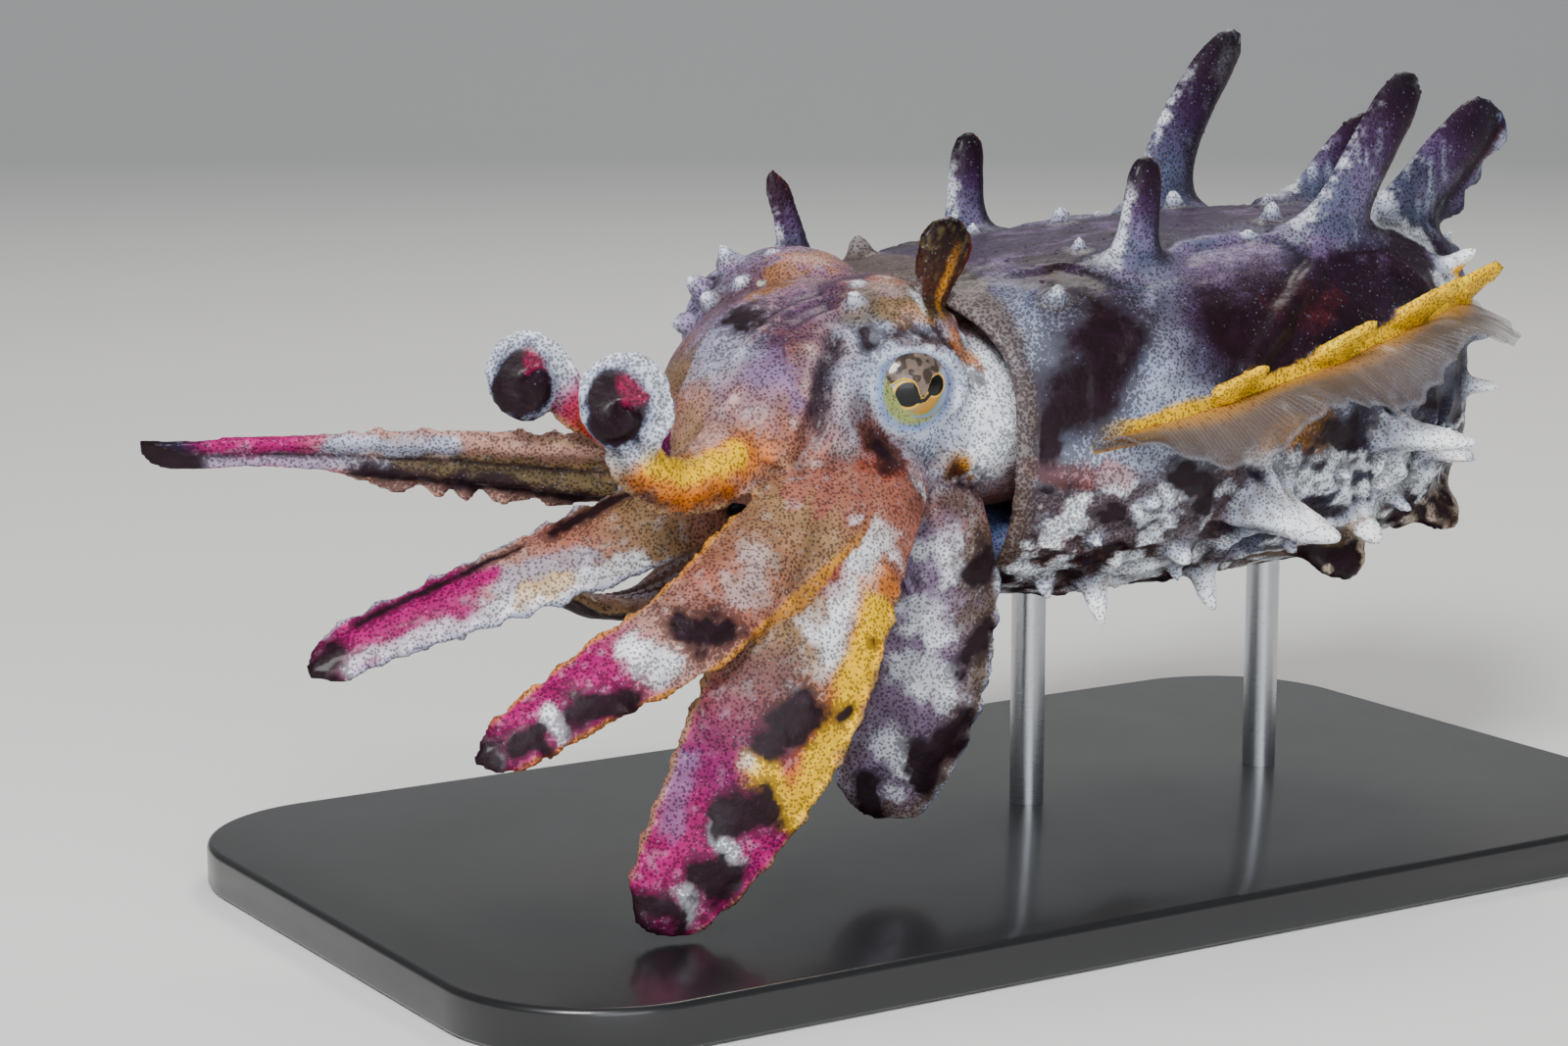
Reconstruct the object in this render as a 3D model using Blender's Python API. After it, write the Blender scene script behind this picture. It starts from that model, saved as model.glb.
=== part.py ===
"""Flamboyant cuttlefish, life size, in the pose of a hovering animal that feels its way on its arms.

The head points to -X, the animal's left side to -Y and up is +Z. The origin is the middle of the
underside of the display stand's base. Sizes are in millimetres and become metres in place().
"""

import math

import bmesh
import bpy
import numpy as np

MM = 0.001
GAP = 0.3
# How far under the skin the feet of small and of large papillae start
SINK, DEEP_SINK = 1.2, 3.2
FOOT_FLARE, KNEE_SHARE = 1.7, 0.36

# Driving sizes
MANTLE_FRONT_X = -6.0
MANTLE_LENGTH = 62.0
MANTLE_AXIS_Z = 41.5
DORSAL_LOBE = 6.0
VENTRAL_NOTCH = 3.0
RIM_THICKNESS = 1.1
RECESS_DEPTH = 7.0
EYE_RADIUS = 4.4
EYE_DOME_RADIUS, EYE_DOME_BACK = 8.6, 1.2
EYE_STANDS_OUT = 1.0
LEFT_EYE_FRONT = (-14.0, -15.0, 46.0)
HEAD_WIDTH = 28.0
HEAD_YAW, HEAD_ROLL = math.radians(9), math.radians(9)
LID_RADIUS, LID_TUBE, LID_STANDS_OUT = 4.0, 1.0, 2.2
# The papilla over each eye: length, width and thickness, and its foot from the eye's middle
EYE_PAPILLA, EYE_PAPILLA_FOOT = (9.0, 3.6, 2.2), (3.6, 1.6, 5.0)
LOBE_FLAP = (6.0, 4.6, 1.5)
LOBE_FOOT = (2.4, 0.6, -3.4)
MOUTH_RADIUS, MOUTH_LENGTH, BEAK = 3.4, 1.4, (2.6, 1.8, 1.4)
# Cones on each side of the head: from the eye's middle to the tail, out and up, then length and width
HEAD_CONES = (
    (-3.6, 0.6, 6.6, 1.5, 1.7),
    (2.0, -5.4, 7.4, 1.4, 1.6),
    (-6.6, -1.6, 3.4, 1.3, 1.6),
)
BASE_LENGTH, BASE_WIDTH, BASE_THICKNESS = 128.0, 72.0, 4.0
BASE_CORNER, BASE_EDGE = 14.0, 0.6
ROD_RADIUS = 1.6
ROD_X = (8.0, 36.0)
ROD_SOCKET_DEPTH = 4.0

# Mantle sections: share of the length, half width, height over the axis, depth under the axis
MANTLE_SECTIONS = (
    (0.00, 18.4, 13.4, 15.2),
    (0.12, 20.0, 14.4, 16.2),
    (0.30, 21.2, 15.0, 16.8),
    (0.50, 20.8, 15.2, 17.0),
    (0.70, 18.4, 14.9, 17.0),
    (0.84, 14.8, 13.4, 15.8),
    (0.94, 9.8, 10.4, 12.4),
    (0.99, 4.6, 6.0, 7.6),
    (1.00, 1.6, 3.0, 4.0),
)
MANTLE_RISE = 2.6
SECTION_POWER = 2.7

# Head sections along its bent axis: centre, half width, half height
HEAD_SECTIONS = (
    ((1.6, 0.0, 43.4), 15.4, 9.5),
    ((-4.0, -0.2, 43.6), 16.2, 9.6),
    ((-9.0, -0.8, 43.8), 15.8, 9.5),
    ((-13.0, -1.4, 44.0), 14.6, 9.5),
    ((-17.0, -2.6, 44.4), 13.4, 10.2),
    ((-21.5, -4.6, 43.0), 11.8, 10.3),
    ((-25.5, -7.2, 40.2), 10.0, 9.6),
    ((-28.4, -9.2, 37.0), 7.8, 7.6),
)

# Funnel sections from the mantle's recess forwards: centre, half width, half height
FUNNEL_SECTIONS = (
    ((1.6, -0.5, 31.6), 9.6, 2.2),
    ((-3.0, -1.0, 31.2), 10.4, 2.6),
    ((-7.0, -2.2, 30.4), 9.2, 3.2),
    ((-10.6, -4.0, 29.2), 6.0, 3.2),
    ((-13.4, -5.6, 28.0), 3.4, 2.8),
)

# Arms: route of the centre line, the way the outer face looks at root and tip, full widths and
# thicknesses at even steps from root to tip, and the shares of the length where the arm is parted.
# The two that curl up end in a flat curl: its middle, start and end radius, and start and end angle
CAMERA_SIDE = (-0.52, -0.84, 0.17)
ARMS = {
    "arm_left_1": dict(
        route=((-20, -8.0, 44), (-25, -9.6, 43.6), (-30, -11.8, 42.4), (-35, -14.2, 40.8),
               (-39.4, -15.6, 40.4), (-42.6, -16.2, 42.4)),
        curl=((-44.4, -16.2, 47.6), 2.3, 1.1, -62, 350),
        face=((-0.30, -0.62, 0.72), CAMERA_SIDE),
        width=(10.0, 8.8, 6.0, 3.8, 3.4, 2.8, 1.1), thick=(5.8, 4.8, 3.6, 2.4, 1.8, 1.2, 0.8),
        parts=(0.35, 0.50, 0.70)),
    "arm_left_2": dict(
        route=((-18, -10, 42), (-23.0, -14.5, 39.6), (-28.4, -17.6, 36.6), (-33.9, -19.4, 33.6),
               (-41.1, -20.7, 29.2), (-48.2, -20.5, 26.2), (-53.8, -20, 23.2), (-59.4, -19.4, 20.4)),
        face=((-0.30, -0.80, 0.45), (-0.45, -0.80, 0.35)),
        width=(10.0, 8.8, 7.2, 6.4, 4.8, 3.0), thick=(5.4, 4.4, 3.6, 2.8, 2.0, 1.2),
        parts=(0.46, 0.72)),
    "arm_left_3": dict(
        route=((-15, -9, 42), (-20.0, -14.5, 39.6), (-24.0, -18.2, 36.4), (-27.4, -20.4, 32.4),
               (-31.2, -22.3, 26.4), (-34.8, -22.8, 20.3), (-38.6, -22.2, 13.8), (-42.6, -21.5, 8.2),
               (-45.4, -20.8, 5.3)),
        face=((-0.30, -0.88, 0.30), (-0.40, -0.85, 0.10)),
        width=(12.0, 12.0, 11.7, 12.0, 9.8, 5.2), thick=(6.0, 5.0, 4.0, 3.2, 2.4, 1.4),
        parts=(0.50, 0.74)),
    "arm_left_4": dict(
        route=((-12.0, -7.0, 40.5), (-13.0, -11.0, 37.0), (-13.2, -13.8, 32.3), (-13.4, -14.4, 25.5),
               (-14.4, -14.2, 19), (-16.0, -13.3, 13.4), (-17.6, -12.0, 8.8)),
        face=((-0.35, -0.92, 0.05), (-0.35, -0.92, 0.05)),
        width=(12.0, 12.0, 11.6, 11.0, 9.6, 6.4), thick=(5.4, 4.6, 3.8, 3.2, 2.4, 1.4),
        parts=(0.34, 0.64)),
    "arm_right_1": dict(
        route=((-19, -3.0, 44.5), (-23.6, -3.0, 44.0), (-28.0, -3.0, 43.0), (-32.0, -2.2, 42.4),
               (-36.0, -1.0, 43.0), (-39.0, 0.4, 45.0)),
        curl=((-43.0, 2.6, 47.2), 2.1, 1.0, 14, 412),
        face=((-0.20, -0.10, 0.95), CAMERA_SIDE),
        width=(9.0, 7.0, 4.4, 3.0, 3.0, 2.5, 1.0), thick=(5.0, 4.2, 3.2, 2.2, 1.6, 1.1, 0.8),
        parts=(0.38, 0.52, 0.70)),
    "arm_right_2": dict(
        route=((-20, -3, 42), (-25.5, -2.0, 40.4), (-31.5, 0.2, 39.2), (-38.2, 4.2, 39.4), (-45.6, 9.2, 39.9),
               (-53.0, 14.4, 40.2), (-60.2, 19.4, 40.3), (-66.6, 23.8, 39.9), (-69.0, 25.4, 40.8)),
        face=((0.30, 0.85, 0.42), (0.45, 0.80, 0.35)),
        width=(8.0, 6.4, 4.8, 3.8, 2.8, 2.6), thick=(5.0, 4.0, 3.2, 2.4, 1.8, 1.2),
        parts=(0.26, 0.62)),
    "arm_right_3": dict(
        route=((-19, -5.5, 41.0), (-24.0, -5.2, 38.8), (-28.4, -4.5, 36.9), (-33.0, -3.0, 35.2),
               (-38.6, -1.2, 33.0), (-45, 0.6, 30.6), (-51.5, 2.4, 28.3), (-57.3, 3.8, 26.2),
               (-62.8, 4.7, 23.6)),
        face=((-0.30, -0.55, 0.78), (-0.45, -0.65, 0.60)),
        width=(8.6, 8.0, 7.4, 6.0, 4.6, 3.2), thick=(5.2, 4.4, 3.6, 2.8, 2.0, 1.2),
        parts=(0.26, 0.60)),
    "arm_right_4": dict(
        route=((-13.5, -3.5, 40), (-18.4, -4.6, 36.4), (-22.6, -4.4, 33.4), (-26.0, -2.6, 30.8),
               (-29.4, -0.2, 28.4), (-33.0, 2.6, 26.8), (-36.2, 6.0, 26.8), (-38.0, 9.8, 28.6),
               (-37.6, 12.8, 31.4)),
        face=((0.30, 0.60, -0.70), (-0.80, 0.30, -0.50)),
        width=(9.4, 9.4, 8.6, 7.0, 5.0, 2.4), thick=(5.2, 4.6, 3.8, 3.0, 2.2, 1.2),
        parts=(0.40, 0.68)),
}
ARM_RING_POINTS = 10
ARM_STEP = 2.6
CURL_STEP = 1.2
CURL_HEIGHT, CURL_LIFT = 1.15, 2.3
TIP_ROUNDING = ((0.955, 0.94), (0.982, 0.72), (1.0, 0.36))
GROOVE_RIDGE, GROOVE_FLOOR = 0.66, 0.45
SUCKER_SIDES = 5
SUCKER_SHARE = 0.22
SUCKER_STEP = 2.2

# Large dorsal papillae, in pairs: station x, distance from the middle, left and right length, width,
# thickness, lean back
DORSAL_PAPILLAE = (
    (10.0, 12.6, (9.6, 10.2), 4.8, 2.8, 0.06),
    (33.0, 12.2, (17.0, 20.5), 6.6, 3.0, 0.55),
    (47.0, 6.0, (15.5, 12.5), 7.2, 2.6, 0.90),
)
# Small papillae, in pairs: share of the mantle's length, angle from the middle of the back, length, width
SMALL_PAPILLAE = (
    (0.05, 20, 2.2, 3.2),
    (0.10, 44, 2.0, 2.6),
    (0.34, 14, 1.8, 2.6),
    (0.58, 20, 2.0, 2.6),
    (0.80, 24, 2.6, 3.0),
    (0.08, 140, 2.0, 2.2),
    (0.17, 142, 4.4, 2.8),
    (0.37, 143, 4.4, 2.8),
    (0.27, 128, 2.4, 3.0),
    (0.40, 117, 8.0, 6.0),
    (0.66, 103, 8.0, 4.6),
    (0.86, 50, 3.8, 3.0),
    (0.90, 98, 3.4, 2.6),
    (0.62, 128, 4.0, 3.8),
    (0.78, 112, 4.0, 3.4),
)
# Yellow flaps over the fin's root, in pairs: share of the mantle's length, length, width
FIN_FLAPS = ((0.32, 3.6, 4.4), (0.52, 4.2, 5.4), (0.71, 4.8, 5.8), (0.88, 4.6, 5.2))
FIN_FLAP_LIFT = 10.0
FOOT_FLAPS = ((0.62, 140, 4.2, 9.0), (0.84, 136, 4.2, 8.0))

FIN_START, FIN_END = 0.10, 0.985
FIN_WIDTH = 6.4
FIN_ANGLE, FIN_CLIMB = 98.0, 36.0
FIN_ROOT_THICKNESS, FIN_EDGE_THICKNESS = 1.3, 0.6
FIN_WAVES = 3.0
FIN_WAVE_HEIGHT = 1.5

SKIN_PLUM = (0.17, 0.10, 0.16)
SKIN_ROSE = (0.52, 0.33, 0.30)
SKIN_PALE = (0.62, 0.60, 0.62)
EYE_SILVER = (0.30, 0.33, 0.28)
FIN_CLEAR = (0.72, 0.62, 0.45)
FUNNEL_BLUE = (0.25, 0.28, 0.62)
STAND_BLACK = (0.03, 0.03, 0.035)
ROD_STEEL = (0.62, 0.62, 0.64)


def unit(v):
    v = np.asarray(v, float)
    return v / np.linalg.norm(v)


def smooth_curve(points, samples):
    """Points spaced evenly along a Catmull-Rom curve through the given ones."""
    p = np.asarray(points, float)
    p = np.vstack([2 * p[0] - p[1], p, 2 * p[-1] - p[-2]])
    fine = []
    for i in range(1, len(p) - 2):
        for t in np.linspace(0, 1, 24, endpoint=False):
            a, b, c, d = p[i - 1 : i + 3]
            square, cube = 2 * a - 5 * b + 4 * c - d, 3 * b - a - 3 * c + d
            fine.append(0.5 * (2 * b + (c - a) * t + square * t**2 + cube * t**3))
    fine = np.array(fine + [p[-2]])
    run = np.r_[0, np.cumsum(np.linalg.norm(np.diff(fine, axis=0), axis=1))]
    wanted = np.linspace(0, run[-1], samples)
    return np.column_stack([np.interp(wanted, run, fine[:, k]) for k in range(3)]), run[-1]


def table_value(rows, share, column):
    """A named column of a short table, read smoothly at a share of the length."""
    x = np.array([row[0] for row in rows])
    y = np.array([row[column] for row in rows])
    share = float(np.clip(share, x[0], x[-1]))
    i = int(np.clip(np.searchsorted(x, share) - 1, 0, len(x) - 2))
    slopes = np.gradient(y, x)
    h = x[i + 1] - x[i]
    t = (share - x[i]) / h
    return ((2 * t**3 - 3 * t**2 + 1) * y[i] + (t**3 - 2 * t**2 + t) * h * slopes[i]
            + (3 * t**2 - 2 * t**3) * y[i + 1] + (t**3 - t**2) * h * slopes[i + 1])


def mesh_from(name, verts, faces):
    mesh = bpy.data.meshes.new(name)
    mesh.from_pydata([tuple(v) for v in verts], [], faces)
    bm = bmesh.new()
    bm.from_mesh(mesh)
    bmesh.ops.recalc_face_normals(bm, faces=bm.faces)
    bmesh.ops.triangulate(bm, faces=bm.faces)
    bm.to_mesh(mesh)
    bm.free()
    return mesh


def loose(name, verts, faces):
    """A mesh object that isn't in the scene's render: a piece to join, or a cutter."""
    obj = bpy.data.objects.new(name, mesh_from(name, verts, faces))
    CUTTERS.objects.link(obj)
    obj.hide_render = True
    obj.display_type = "WIRE"
    return obj


def loft(rings):
    """Vertices and faces of a closed solid through rings of equal point count, capped flat at both ends."""
    n = len(rings[0])
    verts = [p for ring in rings for p in ring]
    faces = []
    for i in range(len(rings) - 1):
        for k in range(n):
            a, b = i * n + k, i * n + (k + 1) % n
            faces.append((a, b, b + n, a + n))
    faces.append(tuple(range(n))[::-1])
    faces.append(tuple(range((len(rings) - 1) * n, len(rings) * n)))
    return verts, faces


def largest_body(mesh):
    """Keeps only the mesh's largest closed surface."""
    bm = bmesh.new()
    bm.from_mesh(mesh)
    left, bodies = set(bm.faces), []
    while left:
        stack, body = [left.pop()], []
        while stack:
            face = stack.pop()
            body.append(face)
            for edge in face.edges:
                for other in edge.link_faces:
                    if other in left:
                        left.discard(other)
                        stack.append(other)
        bodies.append(body)
    bodies.sort(key=lambda body: sum(f.calc_area() for f in body))
    drop = [face for body in bodies[:-1] for face in body]
    bmesh.ops.delete(bm, geom=drop, context="FACES")
    bmesh.ops.delete(bm, geom=[v for v in bm.verts if not v.link_faces], context="VERTS")
    bm.to_mesh(mesh)
    bm.free()


def combined(obj, others, operation):
    """The object joined with, or cut by, every one of the others, which are then removed."""
    if not others:
        return obj
    tools = bpy.data.collections.new("tools")
    bpy.context.scene.collection.children.link(tools)
    for other in others:
        tools.objects.link(other)
    boolean = obj.modifiers.new("boolean", "BOOLEAN")
    boolean.operation = operation
    boolean.operand_type = "COLLECTION"
    boolean.collection = tools
    boolean.solver = "EXACT"
    graph = bpy.context.evaluated_depsgraph_get()
    graph.update()
    result = bpy.data.meshes.new_from_object(obj.evaluated_get(graph))
    obj.modifiers.clear()
    obj.data = result
    for other in others:
        bpy.data.objects.remove(other)
    bpy.data.collections.remove(tools)
    largest_body(obj.data)
    return obj


def material(name, colour, roughness, metallic=0.0):
    found = bpy.data.materials.get(name)
    if found:
        return found
    made = bpy.data.materials.new(name)
    made.use_nodes = True
    shader = made.node_tree.nodes["Principled BSDF"]
    shader.inputs["Base Color"].default_value = (*colour, 1.0)
    shader.inputs["Roughness"].default_value = roughness
    shader.inputs["Metallic"].default_value = metallic
    return made


def place(obj, name, finish):
    """Turns a finished piece in millimetres into a named node in metres."""
    obj.data.transform(((MM, 0, 0, 0), (0, MM, 0, 0), (0, 0, MM, 0), (0, 0, 0, 1)))
    obj.name = obj.data.name = name
    obj.hide_render = False
    obj.display_type = "TEXTURED"
    CUTTERS.objects.unlink(obj)
    ANIMAL.objects.link(obj)
    obj.data.materials.clear()
    obj.data.materials.append(finish)
    obj.data.shade_smooth()
    obj.data.set_sharp_from_angle(angle=math.radians(50))
    return obj


def head_axes():
    """The head's directions to its right and up, turned and rolled to its left from the body's."""
    right = np.array([-math.sin(HEAD_YAW), math.cos(HEAD_YAW), 0.0])
    up = np.array([0.0, 0.0, 1.0])
    return (math.cos(HEAD_ROLL) * right + math.sin(HEAD_ROLL) * up,
            math.cos(HEAD_ROLL) * up - math.sin(HEAD_ROLL) * right)


def mantle_point(share, angle, inset=0.0, back=0.0):
    """A point of the mantle's surface, its angle in degrees from the middle of the back, plus to the left."""
    a = math.radians(angle)
    half_width = table_value(MANTLE_SECTIONS, share, 1) - inset
    half_height = table_value(MANTLE_SECTIONS, share, 2 if math.cos(a) > 0 else 3) - inset
    s, c = math.sin(a), math.cos(a)
    radius = (abs(s) ** SECTION_POWER + abs(c) ** SECTION_POWER) ** (-1 / SECTION_POWER)
    fade = max(0.0, 1 - share / 0.35) ** 2
    lobe = DORSAL_LOBE * max(0.0, c) ** 4 - VENTRAL_NOTCH * max(0.0, -c) ** 4
    x = MANTLE_FRONT_X + share * MANTLE_LENGTH - lobe * fade + back
    z = MANTLE_AXIS_Z + MANTLE_RISE * share + half_height * c * radius
    return np.array([x, -half_width * s * radius, z])


def mantle_normal(share, angle):
    """The way out of the mantle's surface."""
    step = 0.01
    along = mantle_point(min(share + step, 1), angle) - mantle_point(max(share - step, 0), angle)
    around = mantle_point(share, angle + 2) - mantle_point(share, angle - 2)
    n = unit(np.cross(around, along))
    axis = np.array([MANTLE_FRONT_X + share * MANTLE_LENGTH, 0, MANTLE_AXIS_Z])
    out = mantle_point(share, angle) - axis
    return n if np.dot(n, out) > 0 else -n


def mantle_body(grow=0.0):
    """The mantle as a bag: its outside, the lip of its rim, and the wall inside to the recess's floor."""
    points = 28
    angles = [360 * k / points for k in range(points)]
    outside = [0, 0.05, 0.13, 0.24, 0.36, 0.48, 0.6, 0.72, 0.82, 0.9, 0.96, 0.99, 1.0]
    rings = [[mantle_point(share, a, -grow, -grow * (share == 0)) for a in angles]
             for share in reversed(outside)]
    lip = [mantle_point(0, a, 0.5 * RIM_THICKNESS, -0.5 * RIM_THICKNESS - grow) for a in angles]
    inner = [mantle_point(0, a, RIM_THICKNESS + grow, 0.2 * RIM_THICKNESS - grow) for a in angles]
    floor = [mantle_point(0, a, 1.9 * RIM_THICKNESS + grow) for a in angles]
    floor = [np.array([MANTLE_FRONT_X + RECESS_DEPTH - grow, p[1], p[2]]) for p in floor]
    return loose("mantle", *loft(rings + [lip, inner, floor]))


# Outlines of a papilla: share of its length, negative where it is sunk, and share of its full width
TALL_OUTLINE = ((-0.12, 1.5), (0.0, 1.35), (0.14, 1.04), (0.45, 0.84), (0.75, 0.78), (0.93, 0.56),
                (1.0, 0.22))
SHORT_OUTLINE = ((-0.4, 1.4), (0.0, 1.4), (0.35, 0.8), (0.8, 0.5), (1.0, 0.2))


def tapered_spine(root, way, flat, length, width, thickness, bend=0.0, outline=TALL_OUTLINE, sides=8):
    """A flattened, tapering papilla from a flared foot to a rounded tip, its foot sunk under the surface."""
    way, flat = unit(way), unit(flat)
    flat = unit(flat - np.dot(flat, way) * way)
    side = np.cross(way, flat)
    rings = []
    for share, scale in outline:
        up = -SINK if share < 0 else share * length
        centre = np.asarray(root) + way * up + flat * bend * length * max(share, 0) ** 2
        half_width, half_thickness = width * scale / 2, thickness * scale / 2
        rings.append([centre + flat * half_width * math.cos(t) + side * half_thickness * math.sin(t)
                      for t in np.linspace(0, 2 * math.pi, sides, endpoint=False)])
    return loose("spine", *loft(rings))


def leaning_papilla(root, foot_way, way, length, width, thickness):
    """A large papilla that grows square to the skin and bends over to the way it leans."""
    foot_way, way = unit(foot_way), unit(way)
    tip = root + way * length
    knee = root + foot_way * KNEE_SHARE * length
    rings = [papilla_ring(root - foot_way * DEEP_SINK, foot_way, width, thickness, FOOT_FLARE)]
    for share, scale in TALL_OUTLINE[1:]:
        centre = (1 - share) ** 2 * root + 2 * share * (1 - share) * knee + share**2 * tip
        along = unit((1 - share) * (knee - root) + share * (tip - knee))
        rings.append(papilla_ring(centre, along, width, thickness, scale))
    return loose("papilla", *loft(rings))


def papilla_ring(centre, along, width, thickness, scale, sides=8):
    """One ring of a flattened papilla, its broad way along the body."""
    flat = unit(np.array([1.0, 0, 0]) - along[0] * along)
    side = np.cross(along, flat)
    return [centre + scale / 2 * (width * flat * math.cos(t) + thickness * side * math.sin(t))
            for t in np.linspace(0, 2 * math.pi, sides, endpoint=False)]


def mantle_papillae():
    """Every papilla, flap and foot flap of the mantle, in left and right pairs."""
    pieces = []
    for side in (1, -1):
        for x, out, lengths, width, thickness, lean in DORSAL_PAPILLAE:
            length = lengths[0 if side > 0 else 1]
            share = (x - MANTLE_FRONT_X) / MANTLE_LENGTH
            across = out / table_value(MANTLE_SECTIONS, share, 1)
            height = (1 - across**SECTION_POWER) ** (1 / SECTION_POWER)
            angle = side * math.degrees(math.atan2(across, height))
            root = mantle_point(share, angle)
            way = np.array([lean, -side * 0.10, 1.0])
            foot_way = mantle_normal(share, angle)
            pieces.append(leaning_papilla(root, foot_way, way, length, width, thickness))
        for share, angle, length, width in SMALL_PAPILLAE:
            root, way = mantle_point(share, side * angle), mantle_normal(share, side * angle)
            way = way + np.array([0.45 * (length > 5), 0, 0])
            cone = (length, width, 0.7 * width, 0.1, SHORT_OUTLINE, 5)
            pieces.append(tapered_spine(root, way, (1, 0, 0), *cone))
        for share, length, width in FIN_FLAPS:
            angle = side * (fin_angle(share) - FIN_FLAP_LIFT)
            root, way = mantle_point(share, angle), mantle_normal(share, angle)
            way = way + np.array([0.5, 0, 0.25])
            pieces.append(tapered_spine(root, way, (1, 0, 0), length, width, 1.1, 0.2, SHORT_OUTLINE, 6))
        for share, angle, length, width in FOOT_FLAPS:
            root, way = mantle_point(share, side * angle), mantle_normal(share, side * angle)
            pieces.append(tapered_spine(root, way, (1, 0, 0), length, width, 2.4, 0.0, SHORT_OUTLINE, 8))
    return pieces


def fin_angle(share):
    """Where the fin's root runs on the mantle: it climbs towards the tail."""
    return FIN_ANGLE - FIN_CLIMB * share


def fin(side):
    """A thin waving fin along one side of the mantle, its root a gap's width off the skin."""
    stations = np.linspace(FIN_START, FIN_END, 26)
    rows = []
    for share in stations:
        angle = side * fin_angle(share)
        out = mantle_normal(share, angle)
        root = mantle_point(share, angle) + out * (GAP + 0.15)
        along = unit(mantle_point(min(share + 0.01, 1), angle) - mantle_point(share - 0.01, angle))
        over = unit(np.cross(along, out))
        over = over if over[2] > 0 else -over
        run = (share - FIN_START) / (FIN_END - FIN_START)
        width = FIN_WIDTH * min(1.0, (run / 0.25 + 0.03)) ** 0.7 * (1 - 0.35 * run**6)
        section = []
        for step in (0.0, 0.35, 0.7, 1.0):
            wave = FIN_WAVE_HEIGHT * step * math.sin(2 * math.pi * FIN_WAVES * run + 0.9 * side)
            middle = root + out * width * step * 0.92 + over * (wave - 0.42 * width * step**1.4)
            half = 0.5 * (FIN_ROOT_THICKNESS + (FIN_EDGE_THICKNESS - FIN_ROOT_THICKNESS) * step)
            section.append((middle, over * half))
        rows.append([m + h for m, h in section] + [m - h for m, h in reversed(section)])
    return loose("fin", *loft(rows))


def arm_values(arm, share):
    """Half width and half thickness of an arm at a share of its length, with a rounded tip."""
    stops = np.linspace(0, 1, len(arm["width"]))
    rows = [(s, w / 2, t / 2) for s, w, t in zip(stops, arm["width"], arm["thick"])]
    rounding = np.interp(share, [0.9] + [s for s, _ in TIP_ROUNDING], [1.0] + [k for _, k in TIP_ROUNDING])
    return rounding * table_value(rows, share, 1), rounding * table_value(rows, share, 2)


def arm_route(arm):
    """The points of an arm's centre line, with those of its flat curl, if any, worked out."""
    route = [np.array(p, float) for p in arm["route"]]
    if "curl" in arm:
        middle, start_radius, end_radius, start, end = arm["curl"]
        facing = unit(CAMERA_SIDE)
        across = unit(np.cross((0, 0, 1), facing))
        upward = np.cross(facing, across)
        for share in np.linspace(0, 1, 12):
            angle = math.radians(start + (end - start) * share)
            radius = start_radius + (end_radius - start_radius) * share**0.8
            turned = across * math.cos(angle) + CURL_HEIGHT * upward * math.sin(angle)
            route.append(np.array(middle) + radius * turned + CURL_LIFT * share**3 * facing)
    return route


def arm_rings(arm):
    """The rings of an arm: a blade with a rounded outer face, thin margins and a flatter inner face."""
    fine, length = smooth_curve(arm_route(arm), 400)
    fine_tangents = np.gradient(fine, axis=0)
    count = max(12, round(length / (CURL_STEP if "curl" in arm else ARM_STEP)))
    shares = list(np.linspace(0, 0.93, count)) + [share for share, _ in TIP_ROUNDING]
    frames, rings = [], []
    for i, share in enumerate(shares):
        at = round(share * 399)
        centre, along = fine[at], unit(fine_tangents[at])
        face = np.asarray(arm["face"][0]) * (1 - share) + np.asarray(arm["face"][1]) * share
        if "curl" in arm:
            turned = min(1.0, share / 0.4)
            face = np.asarray(arm["face"][0]) * (1 - turned) + np.asarray(arm["face"][1]) * turned
        face = unit(face - np.dot(face, along) * along)
        side = np.cross(along, face)
        half_width, half_thickness = arm_values(arm, share)
        frill = 1 + 0.04 * math.sin(2.4 * i) * (share > 0.25)
        ring = []
        for t in np.linspace(0, 2 * math.pi, ARM_RING_POINTS, endpoint=False):
            c, s = math.cos(t), math.sin(t)
            if s > 0:
                depth = s * (0.35 + 0.65 * s)
            else:
                depth = -GROOVE_RIDGE * min(1.0, (c / 0.81) ** 2 + GROOVE_FLOOR) * (s < -0.01)
            ring.append(centre + side * half_width * frill * c + face * half_thickness * depth)
        rings.append(ring)
        frames.append((centre, along, face, side, half_width, half_thickness))
    return rings, frames, shares, length


def sucker(root, out, radius, height, sides=SUCKER_SIDES):
    """A short cup: a stalk sunk in the arm, a rim and a dished face."""
    out = unit(out)
    a = unit(np.cross(out, (0.3, 0.5, 0.81)))
    b = np.cross(out, a)
    rings = []
    for up, scale in ((-0.6, 0.75), (height, 1.0), (height * 0.5, 0.45)):
        rings.append([np.asarray(root) + out * up + radius * scale * (a * math.cos(t) + b * math.sin(t))
                      for t in np.linspace(0, 2 * math.pi, sides, endpoint=False)])
    return loose("sucker", *loft(rings))


def arm_suckers(frames, shares, length, first, last):
    """Two rows of suckers down the inner face, from one share of the arm's length to another."""
    pieces = []
    share = first + 0.7 * SUCKER_STEP / length
    row = 1
    while share < min(last, 0.95) - 0.5 * SUCKER_STEP / length:
        i = int(np.searchsorted(shares, share)) - 1
        blend = (share - shares[i]) / (shares[i + 1] - shares[i])
        mix = [(1 - blend) * frames[i][k] + blend * frames[i + 1][k] for k in range(6)]
        centre, _, face, side, half_width, half_thickness = mix
        radius = max(0.3, SUCKER_SHARE * half_width)
        root = centre + side * row * 0.32 * half_width - face * half_thickness * GROOVE_RIDGE * 0.5
        pieces.append(sucker(root, -face, radius, 0.35 + 0.35 * radius))
        row = -row
        share += SUCKER_STEP * (0.5 + 0.5 * half_width / 5) / length
    return pieces


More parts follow.
